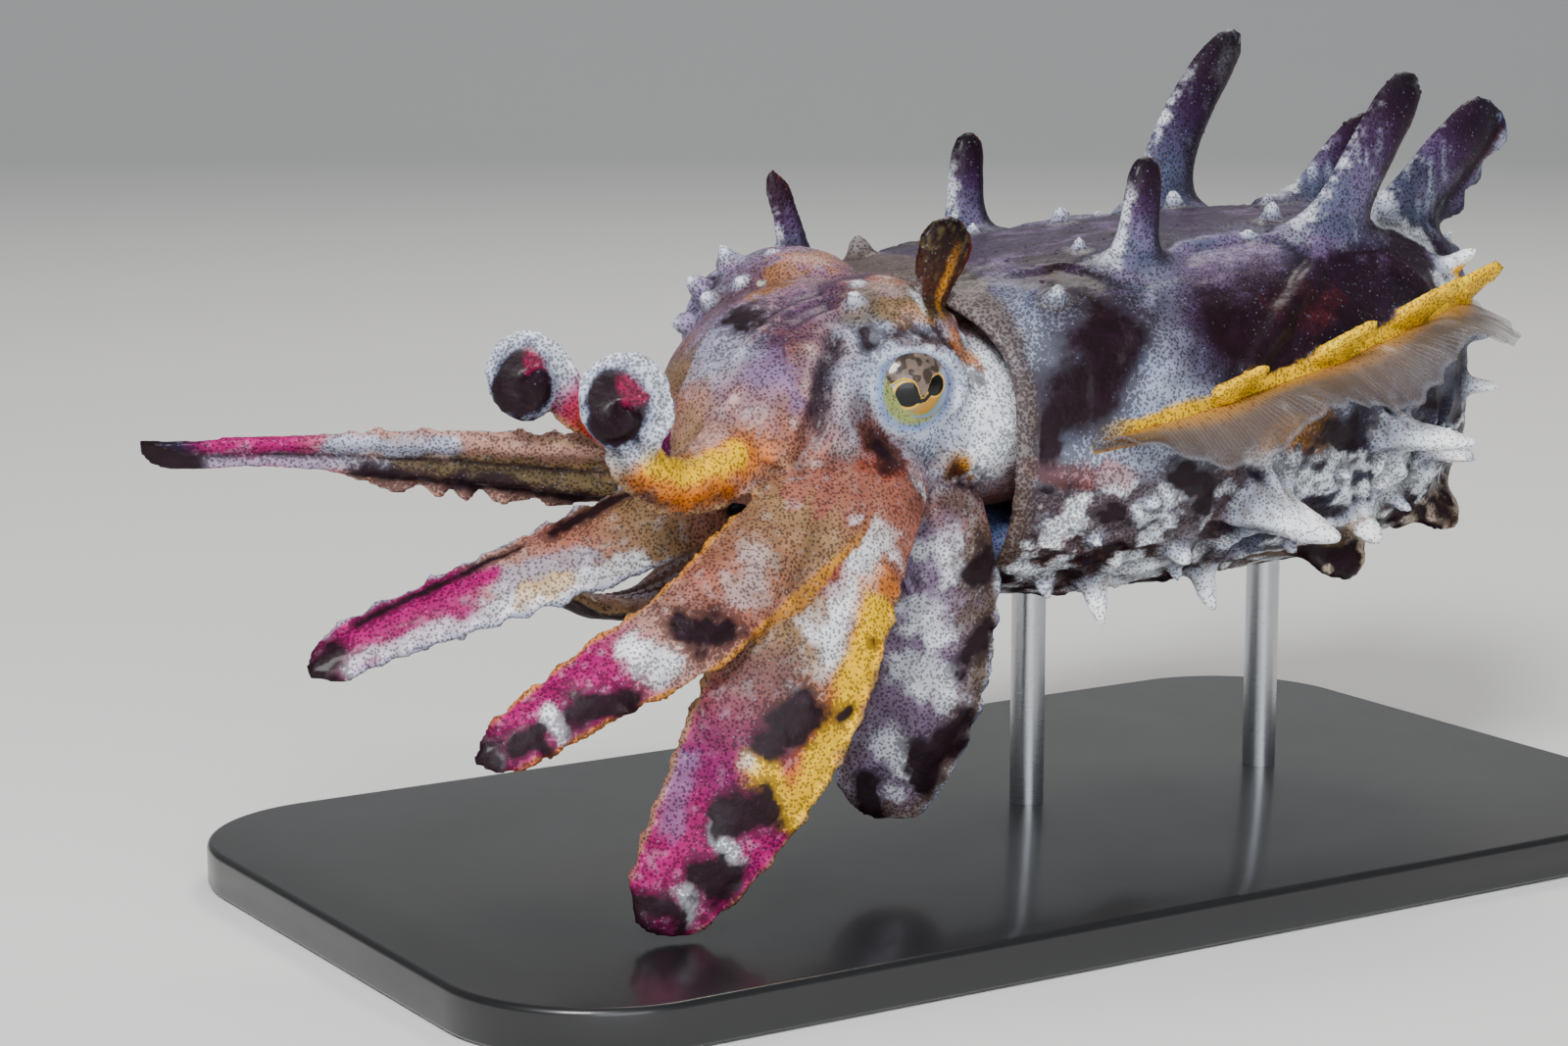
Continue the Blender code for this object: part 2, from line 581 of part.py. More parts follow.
def build_arm(name, arm):
    """The lengths of one arm as nodes, and the stub that the head carries."""
    rings, frames, shares, length = arm_rings(arm)
    cuts = [int(np.searchsorted(shares, part)) for part in arm["parts"]] + [len(rings) - 1]
    stub = loose(name + "_stub", *loft(rings[: cuts[0] + 1]))
    suffixes = ("base", "tip") if len(cuts) == 3 else ("base", "middle", "curl")
    for suffix, first, last in zip(suffixes, cuts[:-1], cuts[1:]):
        piece_rings = [list(ring) for ring in rings[first : last + 1]]
        piece_rings[0] = [p + frames[first][1] * GAP for p in piece_rings[0]]
        body = loose(name, *loft(piece_rings))
        body = combined(body, arm_suckers(frames, shares, length, shares[first], shares[last]), "UNION")
        place(body, f"{name}_{suffix}", material("arm skin", SKIN_ROSE, 0.45))
    return stub


def eye_centre(side):
    """The middle of an eyeball: the left one from its measured front, the right one across the head."""
    right, _ = head_axes()
    front = np.array(LEFT_EYE_FRONT) + (HEAD_WIDTH * right if side < 0 else 0)
    return front + right * side * (EYE_RADIUS - EYE_STANDS_OUT)


def ball(centre, radius, name, segments=16, rings=10):
    mesh = bpy.data.meshes.new(name)
    bm = bmesh.new()
    bmesh.ops.create_uvsphere(bm, u_segments=segments, v_segments=rings, radius=radius)
    for v in bm.verts:
        v.co = [c + x for c, x in zip(centre, v.co)]
    bm.to_mesh(mesh)
    bm.free()
    obj = bpy.data.objects.new(name, mesh)
    CUTTERS.objects.link(obj)
    obj.hide_render = True
    return obj


def build_head(stubs):
    """The head with both eye domes, lids, eye papillae and arm stubs, parted from eyes and mantle."""
    right, up = head_axes()
    centres = np.array([row[0] for row in HEAD_SECTIONS])
    tangents = np.gradient(centres, axis=0)
    rings = []
    for (centre, half_width, half_height), tangent in zip(HEAD_SECTIONS, tangents):
        along = unit(tangent)
        wide = unit(right - np.dot(right, along) * along)
        high = np.cross(wide, along)
        rings.append([np.asarray(centre) + wide * half_width * math.cos(t) + high * half_height * math.sin(t)
                      for t in np.linspace(0, 2 * math.pi, 24, endpoint=False)])
    head = loose("head", *loft(rings))
    pieces = list(stubs) + mouth(centres[-1], tangents[-1])
    for side in (1, -1):
        centre = eye_centre(side)
        dome = centre + right * side * (EYE_DOME_RADIUS - EYE_RADIUS + EYE_STANDS_OUT)
        dome = dome + np.array([EYE_DOME_BACK, 0, -EYE_DOME_BACK / 2])
        pieces.append(ball(dome, EYE_DOME_RADIUS, "dome"))
        pieces.append(eye_lid(centre, side))
        back, inward, high = EYE_PAPILLA_FOOT
        foot = centre + up * high + right * side * inward + np.array([back, 0, 0])
        way = up + np.array([0.25 * side, 0, 0.2])
        pieces.append(tapered_spine(foot, way, (1, 0, 0), *EYE_PAPILLA, 0.05))
        for back, outward, high, length, width in HEAD_CONES:
            way = np.array([back, 0, 0]) - right * side * outward + up * high
            foot = centre + way * (EYE_DOME_RADIUS - 1.2) / np.linalg.norm(way) + right * side * 2.6
            pieces.append(tapered_spine(foot, way, (1, 0, 0), length, width, width, 0.0, SHORT_OUTLINE, 5))
        back, outward, high = LOBE_FOOT
        flap = centre + np.array([back, 0, 0]) - right * side * outward + up * high
        way = np.array([0.55, 0, 0]) - right * side * 0.5 - up * 0.75
        pieces.append(tapered_spine(flap, way, (1, 0, 0.9), *LOBE_FLAP, 0.0, TALL_OUTLINE, 6))
    head = combined(head, pieces, "UNION")
    cutters = [ball(eye_centre(side), EYE_RADIUS + GAP, "socket") for side in (1, -1)]
    return combined(head, cutters + [mantle_body(GAP)], "DIFFERENCE")


def mouth(centre, way):
    """The round lip amid the arms and the tip of the beak in it."""
    lip = sucker(centre, way, MOUTH_RADIUS, MOUTH_LENGTH, 10)
    beak = tapered_spine(centre, way, (0, 0, 1), *BEAK, 0.1, SHORT_OUTLINE, 6)
    return [lip, beak]


def eye_lid(centre, side):
    """The raised ring of skin round an eye."""
    right, up = head_axes()
    out = -right * side
    along = np.cross(out, up)
    turns, sides = 16, 5
    rings = []
    for t in np.linspace(0, 2 * math.pi, turns, endpoint=False):
        way = along * math.cos(t) + up * math.sin(t)
        middle = centre + way * LID_RADIUS + out * LID_STANDS_OUT
        rings.append([middle + LID_TUBE * (way * math.cos(q) + out * math.sin(q))
                      for q in np.linspace(0, 2 * math.pi, sides, endpoint=False)])
    faces = []
    for i in range(turns):
        j = (i + 1) % turns
        for k in range(sides):
            m = (k + 1) % sides
            faces.append((i * sides + k, i * sides + m, j * sides + m, j * sides + k))
    return loose("lid", [p for ring in rings for p in ring], faces)


def build_funnel():
    """The funnel under the neck: a wide flat base in the mantle's recess, then a tapering open tube."""
    route = [section[0] for section in FUNNEL_SECTIONS]
    tangents = np.gradient(np.array(route), axis=0)
    rings = []
    for (centre, half_width, half_height), tangent in zip(FUNNEL_SECTIONS, tangents):
        along = unit(tangent)
        wide = unit(np.cross(along, (0, 0, 1)))
        high = np.cross(wide, along)
        rings.append([np.asarray(centre) + wide * half_width * math.cos(t) + high * half_height * math.sin(t)
                      for t in np.linspace(0, 2 * math.pi, 16, endpoint=False)])
    mouth, deep = np.array(rings[-1]), np.array(rings[-2])
    lip = mouth.mean(axis=0) + 0.70 * (mouth - mouth.mean(axis=0))
    bottom = deep.mean(axis=0) + 0.36 * (deep - deep.mean(axis=0))
    funnel = loose("funnel", *loft(rings + [list(lip), list(bottom)]))
    return combined(funnel, [mantle_body(GAP)], "DIFFERENCE")


def build_stand():
    """A flat base with round corners and two rods that end in sockets under the mantle."""
    curve = bpy.data.curves.new("outline", "CURVE")
    curve.dimensions = "2D"
    curve.fill_mode = "BOTH"
    curve.extrude = BASE_THICKNESS / 2 - BASE_EDGE
    curve.bevel_depth = BASE_EDGE
    curve.bevel_resolution = 1
    spline = curve.splines.new("POLY")
    outline = []
    half_x, half_y = BASE_LENGTH / 2 - BASE_CORNER, BASE_WIDTH / 2 - BASE_CORNER
    for quarter, (sx, sy) in enumerate(((1, 1), (-1, 1), (-1, -1), (1, -1))):
        for t in np.linspace(0, math.pi / 2, 8):
            a = t + quarter * math.pi / 2
            r = BASE_CORNER - BASE_EDGE
            outline.append((sx * half_x + r * math.cos(a), sy * half_y + r * math.sin(a)))
    spline.points.add(len(outline) - 1)
    for point, (x, y) in zip(spline.points, outline):
        point.co = (x, y, 0, 1)
    spline.use_cyclic_u = True
    drawn = bpy.data.objects.new("outline", curve)
    CUTTERS.objects.link(drawn)
    graph = bpy.context.evaluated_depsgraph_get()
    mesh = bpy.data.meshes.new_from_object(drawn.evaluated_get(graph))
    bpy.data.objects.remove(drawn)
    bm = bmesh.new()
    bm.from_mesh(mesh)
    bmesh.ops.remove_doubles(bm, verts=bm.verts, dist=0.001)
    bmesh.ops.translate(bm, verts=bm.verts, vec=(0, 0, BASE_THICKNESS / 2))
    bmesh.ops.recalc_face_normals(bm, faces=bm.faces)
    bm.to_mesh(mesh)
    bm.free()
    base = bpy.data.objects.new("base", mesh)
    CUTTERS.objects.link(base)
    place(base, "stand_base", material("stand plate", STAND_BLACK, 0.4))
    for name, x in zip(("front", "rear"), ROD_X):
        top = mantle_bottom(x) + ROD_SOCKET_DEPTH - GAP
        rod = cylinder(x, BASE_THICKNESS + GAP, top, ROD_RADIUS)
        place(rod, f"stand_rod_{name}", material("stand rod", ROD_STEEL, 0.25, 1.0))


def mantle_bottom(x):
    return mantle_point((x - MANTLE_FRONT_X) / MANTLE_LENGTH, 180)[2]


def cylinder(x, low, high, radius):
    mesh = bpy.data.meshes.new("rod")
    bm = bmesh.new()
    bmesh.ops.create_cone(bm, cap_ends=True, segments=20, radius1=radius, radius2=radius, depth=high - low)
    bmesh.ops.translate(bm, verts=bm.verts, vec=(x, 0, (low + high) / 2))
    bm.to_mesh(mesh)
    bm.free()
    obj = bpy.data.objects.new("rod", mesh)
    CUTTERS.objects.link(obj)
    obj.hide_render = True
    return obj


def main():
    build_stand()
    stubs = [build_arm(name, arm) for name, arm in ARMS.items()]
    head = build_head(stubs)
    place(head, "head", material("head skin", SKIN_PALE, 0.45))
    mantle = combined(mantle_body(), mantle_papillae(), "UNION")
    sockets = [cylinder(x, 0, mantle_bottom(x) + ROD_SOCKET_DEPTH, ROD_RADIUS + GAP) for x in ROD_X]
    mantle = combined(mantle, sockets, "DIFFERENCE")
    place(mantle, "mantle", material("mantle skin", SKIN_PLUM, 0.45))
    for name, side in (("left", 1), ("right", -1)):
        place(ball(eye_centre(side), EYE_RADIUS, "eye"), f"eye_{name}", material("eye", EYE_SILVER, 0.08))
        place(fin(side), f"fin_{name}", material("fin skin", FIN_CLEAR, 0.3))
    place(build_funnel(), "funnel", material("funnel skin", FUNNEL_BLUE, 0.35))


for old in list(bpy.data.objects):
    bpy.data.objects.remove(old)
CUTTERS = bpy.data.collections.new("Cutters")
ANIMAL = bpy.data.collections.new("Flamboyant cuttlefish")
bpy.context.scene.collection.children.link(CUTTERS)
bpy.context.scene.collection.children.link(ANIMAL)
main()
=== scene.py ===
"""The looks of a life-size flamboyant cuttlefish on its display stand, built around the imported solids.

Sizes are in millimetres in the solids' frame: the head points to -X, the animal's left side to -Y
and up is +Z. Every mesh becomes metres when it is made into an object.
"""

import logging
import math
from collections.abc import Sequence
from dataclasses import dataclass
from enum import Enum

import bmesh
import bpy
import numpy as np
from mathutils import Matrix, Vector
from mathutils.kdtree import KDTree


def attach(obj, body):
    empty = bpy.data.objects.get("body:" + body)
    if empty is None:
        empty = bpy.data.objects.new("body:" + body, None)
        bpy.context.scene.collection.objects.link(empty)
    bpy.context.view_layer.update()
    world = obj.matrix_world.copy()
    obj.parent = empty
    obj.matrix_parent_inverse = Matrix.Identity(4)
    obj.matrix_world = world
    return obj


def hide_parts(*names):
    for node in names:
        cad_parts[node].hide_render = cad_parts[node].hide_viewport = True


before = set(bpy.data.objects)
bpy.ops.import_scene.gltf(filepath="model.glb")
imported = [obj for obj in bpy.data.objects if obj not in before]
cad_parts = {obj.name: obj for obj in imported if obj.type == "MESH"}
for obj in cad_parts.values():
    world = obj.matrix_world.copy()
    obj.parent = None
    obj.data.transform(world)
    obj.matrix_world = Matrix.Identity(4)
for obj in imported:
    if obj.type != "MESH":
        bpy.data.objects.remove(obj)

MM = 0.001
LOG = logging.getLogger("cuttlefish")
Array = np.ndarray
Triple = tuple[float, float, float]


class Tone(Enum):
    """The colours of the living animal and of its stand, in sRGB."""

    PEARL = "#9FA6B8"
    WHITE = "#E9EEF4"
    LILAC = "#8C779C"
    SALMON = "#9A6455"
    ROSE = "#AE877C"
    SAND = "#8F7454"
    OLIVE = "#5C5236"
    BROWN = "#4A2919"
    RUST = "#9C3A12"
    ORANGE = "#CC7608"
    OCHRE = "#B57D1C"
    YELLOW = "#E8BA00"
    MAGENTA = "#A00468"
    CRIMSON = "#861212"
    PLUM = "#281024"
    PURPLE = "#3E2549"
    INDIGO = "#181034"
    SLATE = "#555B72"
    SKY = "#7F95BF"
    VIOLET = "#3A49AC"
    SMOKE = "#695A50"
    INK = "#090407"
    TEAL = "#3C8A80"
    GILT = "#E8B53A"
    MOSS = "#8F9660"
    FLOOR = "#E6E6E4"


def linear(tone: Tone | str) -> Array:
    """The linear colour of a tone or of an sRGB hex string.

    Args:
        tone: A tone, or an sRGB hex string.

    Returns:
        Its red, green and blue.
    """
    text = tone.value if isinstance(tone, Tone) else tone
    srgb = np.array([int(text[i : i + 2], 16) / 255 for i in (1, 3, 5)])
    return np.where(srgb <= 0.04045, srgb / 12.92, ((srgb + 0.055) / 1.055) ** 2.4)


def read_rows(text: str) -> tuple[tuple[float, ...], ...]:
    """Reads rows of numbers that have a comma between them."""
    return tuple(tuple(map(float, row.split())) for row in text.split(","))


def round_steps(count: int) -> Array:
    """Even steps of the angle once round."""
    return np.linspace(0, math.tau, count, endpoint=False)


def unit(v: Sequence[float] | Array) -> Array:
    """The vector, or each row's vector, at length one."""
    v = np.asarray(v, float)
    return v / np.maximum(np.linalg.norm(v, axis=-1, keepdims=True), 1e-12)


def ramp(low: float, high: float, x: Array | float) -> Array:
    """0 below low and 1 above high, with a smooth rise between them."""
    t = np.clip((np.asarray(x, float) - low) / (high - low), 0, 1)
    return t * t * (3 - 2 * t)


def smooth_curve(points: Sequence[Sequence[float]], samples: int) -> tuple[Array, float]:
    """Samples a Catmull-Rom curve evenly.

    Args:
        points: The points that the curve goes through.
        samples: How many points to return.

    Returns:
        The evenly spaced points and the curve's length.
    """
    p = np.asarray(points, float)
    p = np.vstack([2 * p[0] - p[1], p, 2 * p[-1] - p[-2]])
    t = np.linspace(0, 1, 24, endpoint=False)[:, None]
    fine = []
    for a, b, c, d in zip(p, p[1:], p[2:], p[3:]):
        square, cube = 2 * a - 5 * b + 4 * c - d, 3 * b - a - 3 * c + d
        fine.append(0.5 * (2 * b + (c - a) * t + square * t**2 + cube * t**3))
    fine = np.vstack([*fine, p[-2][None]])
    run = np.r_[0, np.cumsum(np.linalg.norm(np.diff(fine, axis=0), axis=1))]
    wanted = np.linspace(0, run[-1], samples)
    return np.column_stack([np.interp(wanted, run, fine[:, k]) for k in range(3)]), run[-1]


def table_value(table: Sequence[Sequence[float]], share: Array | float, column: int) -> Array:
    """Reads a column of a short table smoothly.

    Args:
        table: Rows that start with the share of the length they stand at.
        share: Where to read, from 0 to 1.
        column: The column to read.

    Returns:
        The value at each share.
    """
    x = np.array([row[0] for row in table], float)
    y = np.array([row[column] for row in table], float)
    share = np.clip(np.asarray(share, float), x[0], x[-1])
    i = np.clip(np.searchsorted(x, share) - 1, 0, len(x) - 2)
    slopes = np.gradient(y, x)
    h = x[i + 1] - x[i]
    t = (share - x[i]) / h
    start = (2 * t**3 - 3 * t**2 + 1) * y[i] + (t**3 - 2 * t**2 + t) * h * slopes[i]
    return start + (3 * t**2 - 2 * t**3) * y[i + 1] + (t**3 - t**2) * h * slopes[i + 1]


def linked(name: str, data: bpy.types.ID) -> bpy.types.Object:
    """A new object in the scene.

    Args:
        name: The object's name.
        data: Its mesh, light or camera.

    Returns:
        The object.
    """
    obj = bpy.data.objects.new(name, data)
    bpy.context.scene.collection.objects.link(obj)
    return obj


class Noise:
    """Smooth noise in space that is the same at every run."""

    CORNERS = np.array([[x, y, z] for x in (0, 1) for y in (0, 1) for z in (0, 1)])
    PRIMES = np.array([73856093, 19349663, 83492791])

    def __init__(self, seed: int) -> None:
        """Draws the table of random values."""
        self.table = np.random.default_rng(seed).random(8192)

    def value(self, points: Array, size: float) -> Array:
        """Noise from 0 to 1 at each point, with features about size millimetres across.

        Args:
            points: Where to read it.
            size: How large its features are.

        Returns:
            A value a point.
        """
        p = points / size
        low = np.floor(p).astype(np.int64)
        f = p - low
        f = f * f * (3 - 2 * f)
        total = np.zeros(len(points))
        for corner in self.CORNERS:
            cell = ((low + corner) * self.PRIMES).astype(np.int64)
            index = np.bitwise_xor.reduce(cell, axis=1) & 8191
            total += self.table[index] * np.prod(np.where(corner, f, 1 - f), axis=1)
        return total

    def layered(self, points: Array, size: float, layers: int = 3) -> Array:
        """Noise from 0 to 1 with finer and fainter noise on it.

        Args:
            points: Where to read it.
            size: How large its largest features are.
            layers: How many sizes are laid on one another.

        Returns:
            A value a point.
        """
        shares = 0.5 ** np.arange(layers)
        total = sum(s * self.value(points + 17.3 * i, size * 0.47**i) for i, s in enumerate(shares))
        return total / shares.sum()

    def creases(self, points: Array, size: float, layers: int) -> Array:
        """Noise that is 1 along thin winding creases and falls to 0 between them."""
        return 1 - np.abs(2 * self.layered(points, size, layers) - 1)


NOISE = Noise(7)


@dataclass
class Surface:
    """Vertices in millimetres and faces of one shell."""

    verts: Array
    faces: list[tuple[int, ...]]

    @staticmethod
    def loft(rings: Array | list, capped: bool = True) -> "Surface":
        """Skins rings of equal point count.

        Args:
            rings: The rings in order, each a closed loop of points.
            capped: Whether both ends are closed with a flat face.

        Returns:
            The shell through the rings.
        """
        rings = np.asarray(rings, float)
        count, n = rings.shape[:2]
        i, k = np.meshgrid(np.arange(count - 1), np.arange(n), indexing="ij")
        a, b = (i * n + k).ravel(), (i * n + (k + 1) % n).ravel()
        faces = [tuple(map(int, f)) for f in zip(a, b, b + n, a + n)]
        if capped:
            faces.append(tuple(range(n))[::-1])
            faces.append(tuple(range((count - 1) * n, count * n)))
        return Surface(rings.reshape(-1, 3), faces)

    @staticmethod
    def turned(profile: Sequence[Sequence[float]], sides: int, middle: Sequence[float] = (0, 0, 0),
               axes: Sequence[Sequence[float]] = ((1, 0, 0), (0, 1, 0), (0, 0, 1))) -> "Surface":
        """A shape turned on a lathe.

        Args:
            profile: Rows of a radius and a height.
            sides: Points in a ring.
            middle: Where the axis has height 0.
            axes: The ways to a ring's first point, to the point a quarter turn on, and up the axis.

        Returns:
            The closed shape.
        """
        t = round_steps(sides)
        circle = np.column_stack([np.cos(t), np.sin(t), 0 * t])
        return Surface.loft(middle + np.array([r * circle + (0, 0, z) for r, z in profile]) @ np.array(axes))

    @staticmethod
    def ball(radius: float, tilt: Array, sides: int, *place: Sequence) -> "Surface":
        """The part of a ball over these angles from its pole, placed by a middle and axes as in turned."""
        return Surface.turned(radius * np.column_stack([np.sin(tilt), np.cos(tilt)]), sides, *place)

    @staticmethod
    def tube(line: Array, radii: Array, flat: Sequence[float], ratio: float = 1.0,
             sides: int = 16) -> "Surface":
        """A tube round a line.

        Args:
            line: Points of the centre line.
            radii: The half width at each point.
            flat: The way in which the section is broad.
            ratio: The half thickness as a share of the half width.
            sides: Points round the section.

        Returns:
            The closed tube.
        """
        along = unit(np.gradient(line, axis=0))
        flat = np.asarray(flat, float)
        wide = unit(flat - (along @ flat)[:, None] * along)
        side = np.cross(along, wide)
        t = round_steps(sides)
        section = wide[:, None] * np.cos(t)[:, None] + ratio * side[:, None] * np.sin(t)[:, None]
        return Surface.loft(line[:, None] + np.asarray(radii)[:, None, None] * section)

    @staticmethod
    def ring(centre: Array, across: Array, up: Array, radii: Sequence[float],
             tube: float, turns: int = 48, sides: int = 12) -> "Surface":
        """A closed torus with its hole looking square to across and up, its radii along each of them.

        Args:
            centre: Its middle.
            across: One way across it.
            up: The other way across it.
            radii: Its radius along each of the two.
            tube: The radius of its section.
            turns: Points round it.
            sides: Points round its section.

        Returns:
            The closed ring.
        """
        out = np.cross(across, up)
        t = round_steps(turns)
        way = across * np.cos(t)[:, None] + up * np.sin(t)[:, None]
        middle = centre + radii[0] * across * np.cos(t)[:, None] + radii[1] * up * np.sin(t)[:, None]
        q = round_steps(sides)
        rings = middle[:, None] + tube * (way[:, None] * np.cos(q)[:, None] + out * np.sin(q)[:, None])
        shell = Surface.loft(np.concatenate([rings, rings[:1]]), capped=False)
        last = turns * sides
        shell.faces = [tuple(v % last for v in f) for f in shell.faces]
        return Surface(shell.verts[:last], shell.faces)

    @staticmethod
    def sheet(middle: Array, half: Array) -> "Surface":
        """A thin sheet: rows of points along its middle, and half its thickness as steps to one side."""
        return Surface.loft(np.concatenate([middle + half, (middle - half)[:, ::-1]], axis=1))

    @staticmethod
    def joined(shells: Sequence["Surface"]) -> "Surface":
        """Several shells as one surface.

        Args:
            shells: The surfaces.

        Returns:
            One surface with all their faces.
        """
        faces, start = [], 0
        for shell in shells:
            faces.extend(tuple(v + start for v in f) for f in shell.faces)
            start += len(shell.verts)
        return Surface(np.vstack([s.verts for s in shells]), faces)

    def mesh(self, name: str) -> bpy.types.Mesh:
        """The surface as a mesh in millimetres with its faces pointing outwards.

        Args:
            name: The mesh's name.

        Returns:
            The mesh, whose normals are recalculated.
        """
        mesh = bpy.data.meshes.new(name)
        mesh.from_pydata(self.verts.tolist(), [], self.faces)
        bm = bmesh.new()
        bm.from_mesh(mesh)
        bmesh.ops.recalc_face_normals(bm, faces=bm.faces)
        bm.to_mesh(mesh)
        bm.free()
        return mesh


def oval_rings(sections: Sequence[Sequence[float]], samples: int, sides: int,
               right: Array | None = None) -> tuple[Array, Array]:
    """Oval rings along a bent axis.

    Args:
        sections: Rows of a centre, a half width and a half height.
        samples: How many rings.
        sides: Points in a ring.
        right: The way that the width is measured in, or level if it isn't given.

    Returns:
        The rings, and the way along the axis at each.
    """
    table = np.array(sections)
    centre, _ = smooth_curve(table[:, :3], samples)
    share, stops = np.linspace(0, 1, samples), np.linspace(0, 1, len(table))
    half_width, half_height = (np.interp(share, stops, table[:, k])[:, None] for k in (3, 4))
    along = unit(np.gradient(centre, axis=0))
    wide = unit(np.cross(along, (0, 0, 1)) if right is None else right - (along @ right)[:, None] * along)
    high = np.cross(wide, along)
    t = round_steps(sides)
    rings = centre[:, None] + wide[:, None] * (half_width * np.cos(t))[..., None]
    return rings + high[:, None] * (half_height * np.sin(t))[..., None], along


class Skin:
    """A mesh in millimetres that is moved and painted before it becomes an object."""

    def __init__(self, mesh: bpy.types.Mesh) -> None:
        """Reads the mesh's vertices and edges.

        Args:
            mesh: A mesh in millimetres.
        """
        self.mesh = mesh
        self.co = np.empty(len(mesh.vertices) * 3)
        mesh.vertices.foreach_get("co", self.co)
        self.co = self.co.reshape(-1, 3)
        edges = np.empty(len(mesh.edges) * 2, np.int64)
        mesh.edges.foreach_get("vertices", edges)
        self.edges = edges.reshape(-1, 2)

    @classmethod
    def fused(cls, name: str, shells: Sequence[Surface], voxel: float, passes: int) -> "Skin":
        """One closed skin round shells that run into each other.

        Args:
            name: The mesh's name.
            shells: Closed shells.
            voxel: The size of the cells that the shells are fused in.
            passes: How many times the joins are smoothed, each time in and out again so that nothing shrinks.

        Returns:
            The fused skin.
        """
        source = linked(name, Surface.joined(shells).mesh(name))
        remesh = source.modifiers.new("fuse", "REMESH")
        remesh.mode = "VOXEL"
        remesh.voxel_size = voxel
        graph = bpy.context.evaluated_depsgraph_get()
        mesh = bpy.data.meshes.new_from_object(source.evaluated_get(graph))
        bpy.data.objects.remove(source)
        skin = cls(mesh)
        for step in (0.6, -0.62) * passes:
            skin.co += step * (skin._around(skin.co) - skin.co)
        skin._write()
        return skin

    def _around(self, places: Array) -> Array:
        """The middle of the neighbours of each vertex.

        Args:
            places: Where the vertices are.

        Returns:
            A place a vertex.
        """
        a, b = self.edges.T
        count = np.maximum(np.bincount(self.edges.ravel(), minlength=len(places)), 1)
        sums = [np.bincount(a, p[b], len(p)) + np.bincount(b, p[a], len(p)) for p in places.T]
        return np.column_stack(sums) / count[:, None]

    def _write(self) -> None:
        """Puts the moved vertices back in the mesh."""
        self.mesh.vertices.foreach_set("co", self.co.ravel())
        self.mesh.update()

    def normals(self) -> Array:
        """The way out at each vertex.

        Returns:
            A way of length one a vertex.
        """
        out = np.empty(len(self.co) * 3, np.float32)
        self.mesh.vertex_normals.foreach_get("vector", out)
        return out.reshape(-1, 3).astype(float)

    def hollows(self, passes: int = 6) -> Array:
        """How far each vertex stands out of the skin's general level, below 0 in hollows.

        Args:
            passes: How many rounds of neighbours the general level takes in.

        Returns:
            A height a vertex.
        """
        level = self.co
        for _ in range(passes):
            level = self._around(level)
        return np.sum((self.co - level) * self.normals(), axis=1)

    def raise_by(self, height: Array) -> None:
        """Moves each vertex out by its height."""
        self.co += height[:, None] * self.normals()
        self._write()

    def store(self, name: str, values: Array) -> None:
        """Stores a number or a vector at each vertex for the materials and node trees.

        Args:
            name: The attribute's name.
            values: A number or a row of three a vertex.
        """
        kind, field = ("FLOAT", "value") if values.ndim == 1 else ("FLOAT_VECTOR", "vector")
        made = self.mesh.attributes.new(name, kind, "POINT")
        made.data.foreach_set(field, values.astype(np.float32).ravel())

    def colour(self, name: str, values: Array) -> None:
        """Stores a linear colour at each vertex for the materials.

        Args:
            name: The attribute's name.
            values: Red, green and blue a vertex.
        """
        made = self.mesh.attributes.new(name, "FLOAT_COLOR", "POINT")
        rgba = np.ones((len(self.co), 4), np.float32)
        rgba[:, :3] = np.clip(values, 0, 1)
        made.data.foreach_set("color", rgba.ravel())

    def finished(self, name: str, finish: bpy.types.Material, slot: str, *nodes: str) -> None:
        """Makes the skin a finished piece."""
        finished_piece(name, self.mesh, finish, slot, *nodes)


def finished_piece(name: str, mesh: bpy.types.Mesh, finish: bpy.types.Material, slot: str, *nodes: str) -> None:
    """Makes a piece of a mesh in millimetres: at the origin, in metres, shaded smooth, riding on the one body.

    Args:
        name: The piece's name.
        mesh: Its mesh.
        finish: Its material.
        slot: The name of a record's material slot; not used.
        nodes: The solids that it stands for, if any.
    """
    mesh.name = name
    mesh.transform(((MM, 0, 0, 0), (0, MM, 0, 0), (0, 0, MM, 0), (0, 0, 0, 1)))
    mesh.materials.clear()
    mesh.materials.append(finish)
    mesh.shade_smooth()
    piece = linked(name, mesh)
    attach(piece, "root")
    if nodes:
        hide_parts(*nodes)
    LOG.info("%s: %d faces", name, len(mesh.polygons))


class Growth(Enum):
    """What grows out of the skin, each kind with a pattern of its own."""

    BLADE = "large papilla of the back"
    BROW = "papilla over the eye"
    CONE = "small cone"
    FINGER = "white papilla of the flank"
    FLAP = "yellow flap over the fin"
    FOOT = "flap of the belly"
    LOBE = "lobe under the eye"
    BEAK = "beak amid the arms"


# Share of the length and share of the full width of a tall papilla, and of a short one
TALL_OUTLINE = read_rows("0 1.35, 0.14 1.04, 0.45 0.84, 0.75 0.78, 0.93 0.56, 1 0.2")
SHORT_OUTLINE = read_rows("0 1.4, 0.35 0.86, 0.8 0.54, 1 0.18")
BLADE_OUTLINE = read_rows("0 2.2, 0.06 1.7, 0.14 1.26, 0.26 1, 0.4 0.88, 0.7 0.78, 0.9 0.64, 0.97 0.44, 1 0.16")
SLENDER_OUTLINE = read_rows("0 2, 0.12 1.3, 0.3 0.95, 0.6 0.74, 0.9 0.52, 1 0.2")
BROW_OUTLINE = read_rows("0 1.3, 0.14 0.8, 0.4 0.84, 0.66 1.12, 0.86 1.1, 0.96 0.66, 1 0.24")
BEAK_OUTLINE = read_rows("0 1.2, 0.5 0.9, 0.85 0.45, 1 0.1")
FLAP_OUTLINE = read_rows("0 1.25, 0.2 1.05, 0.45 0.78, 0.7 0.56, 0.9 0.42, 1 0.2")


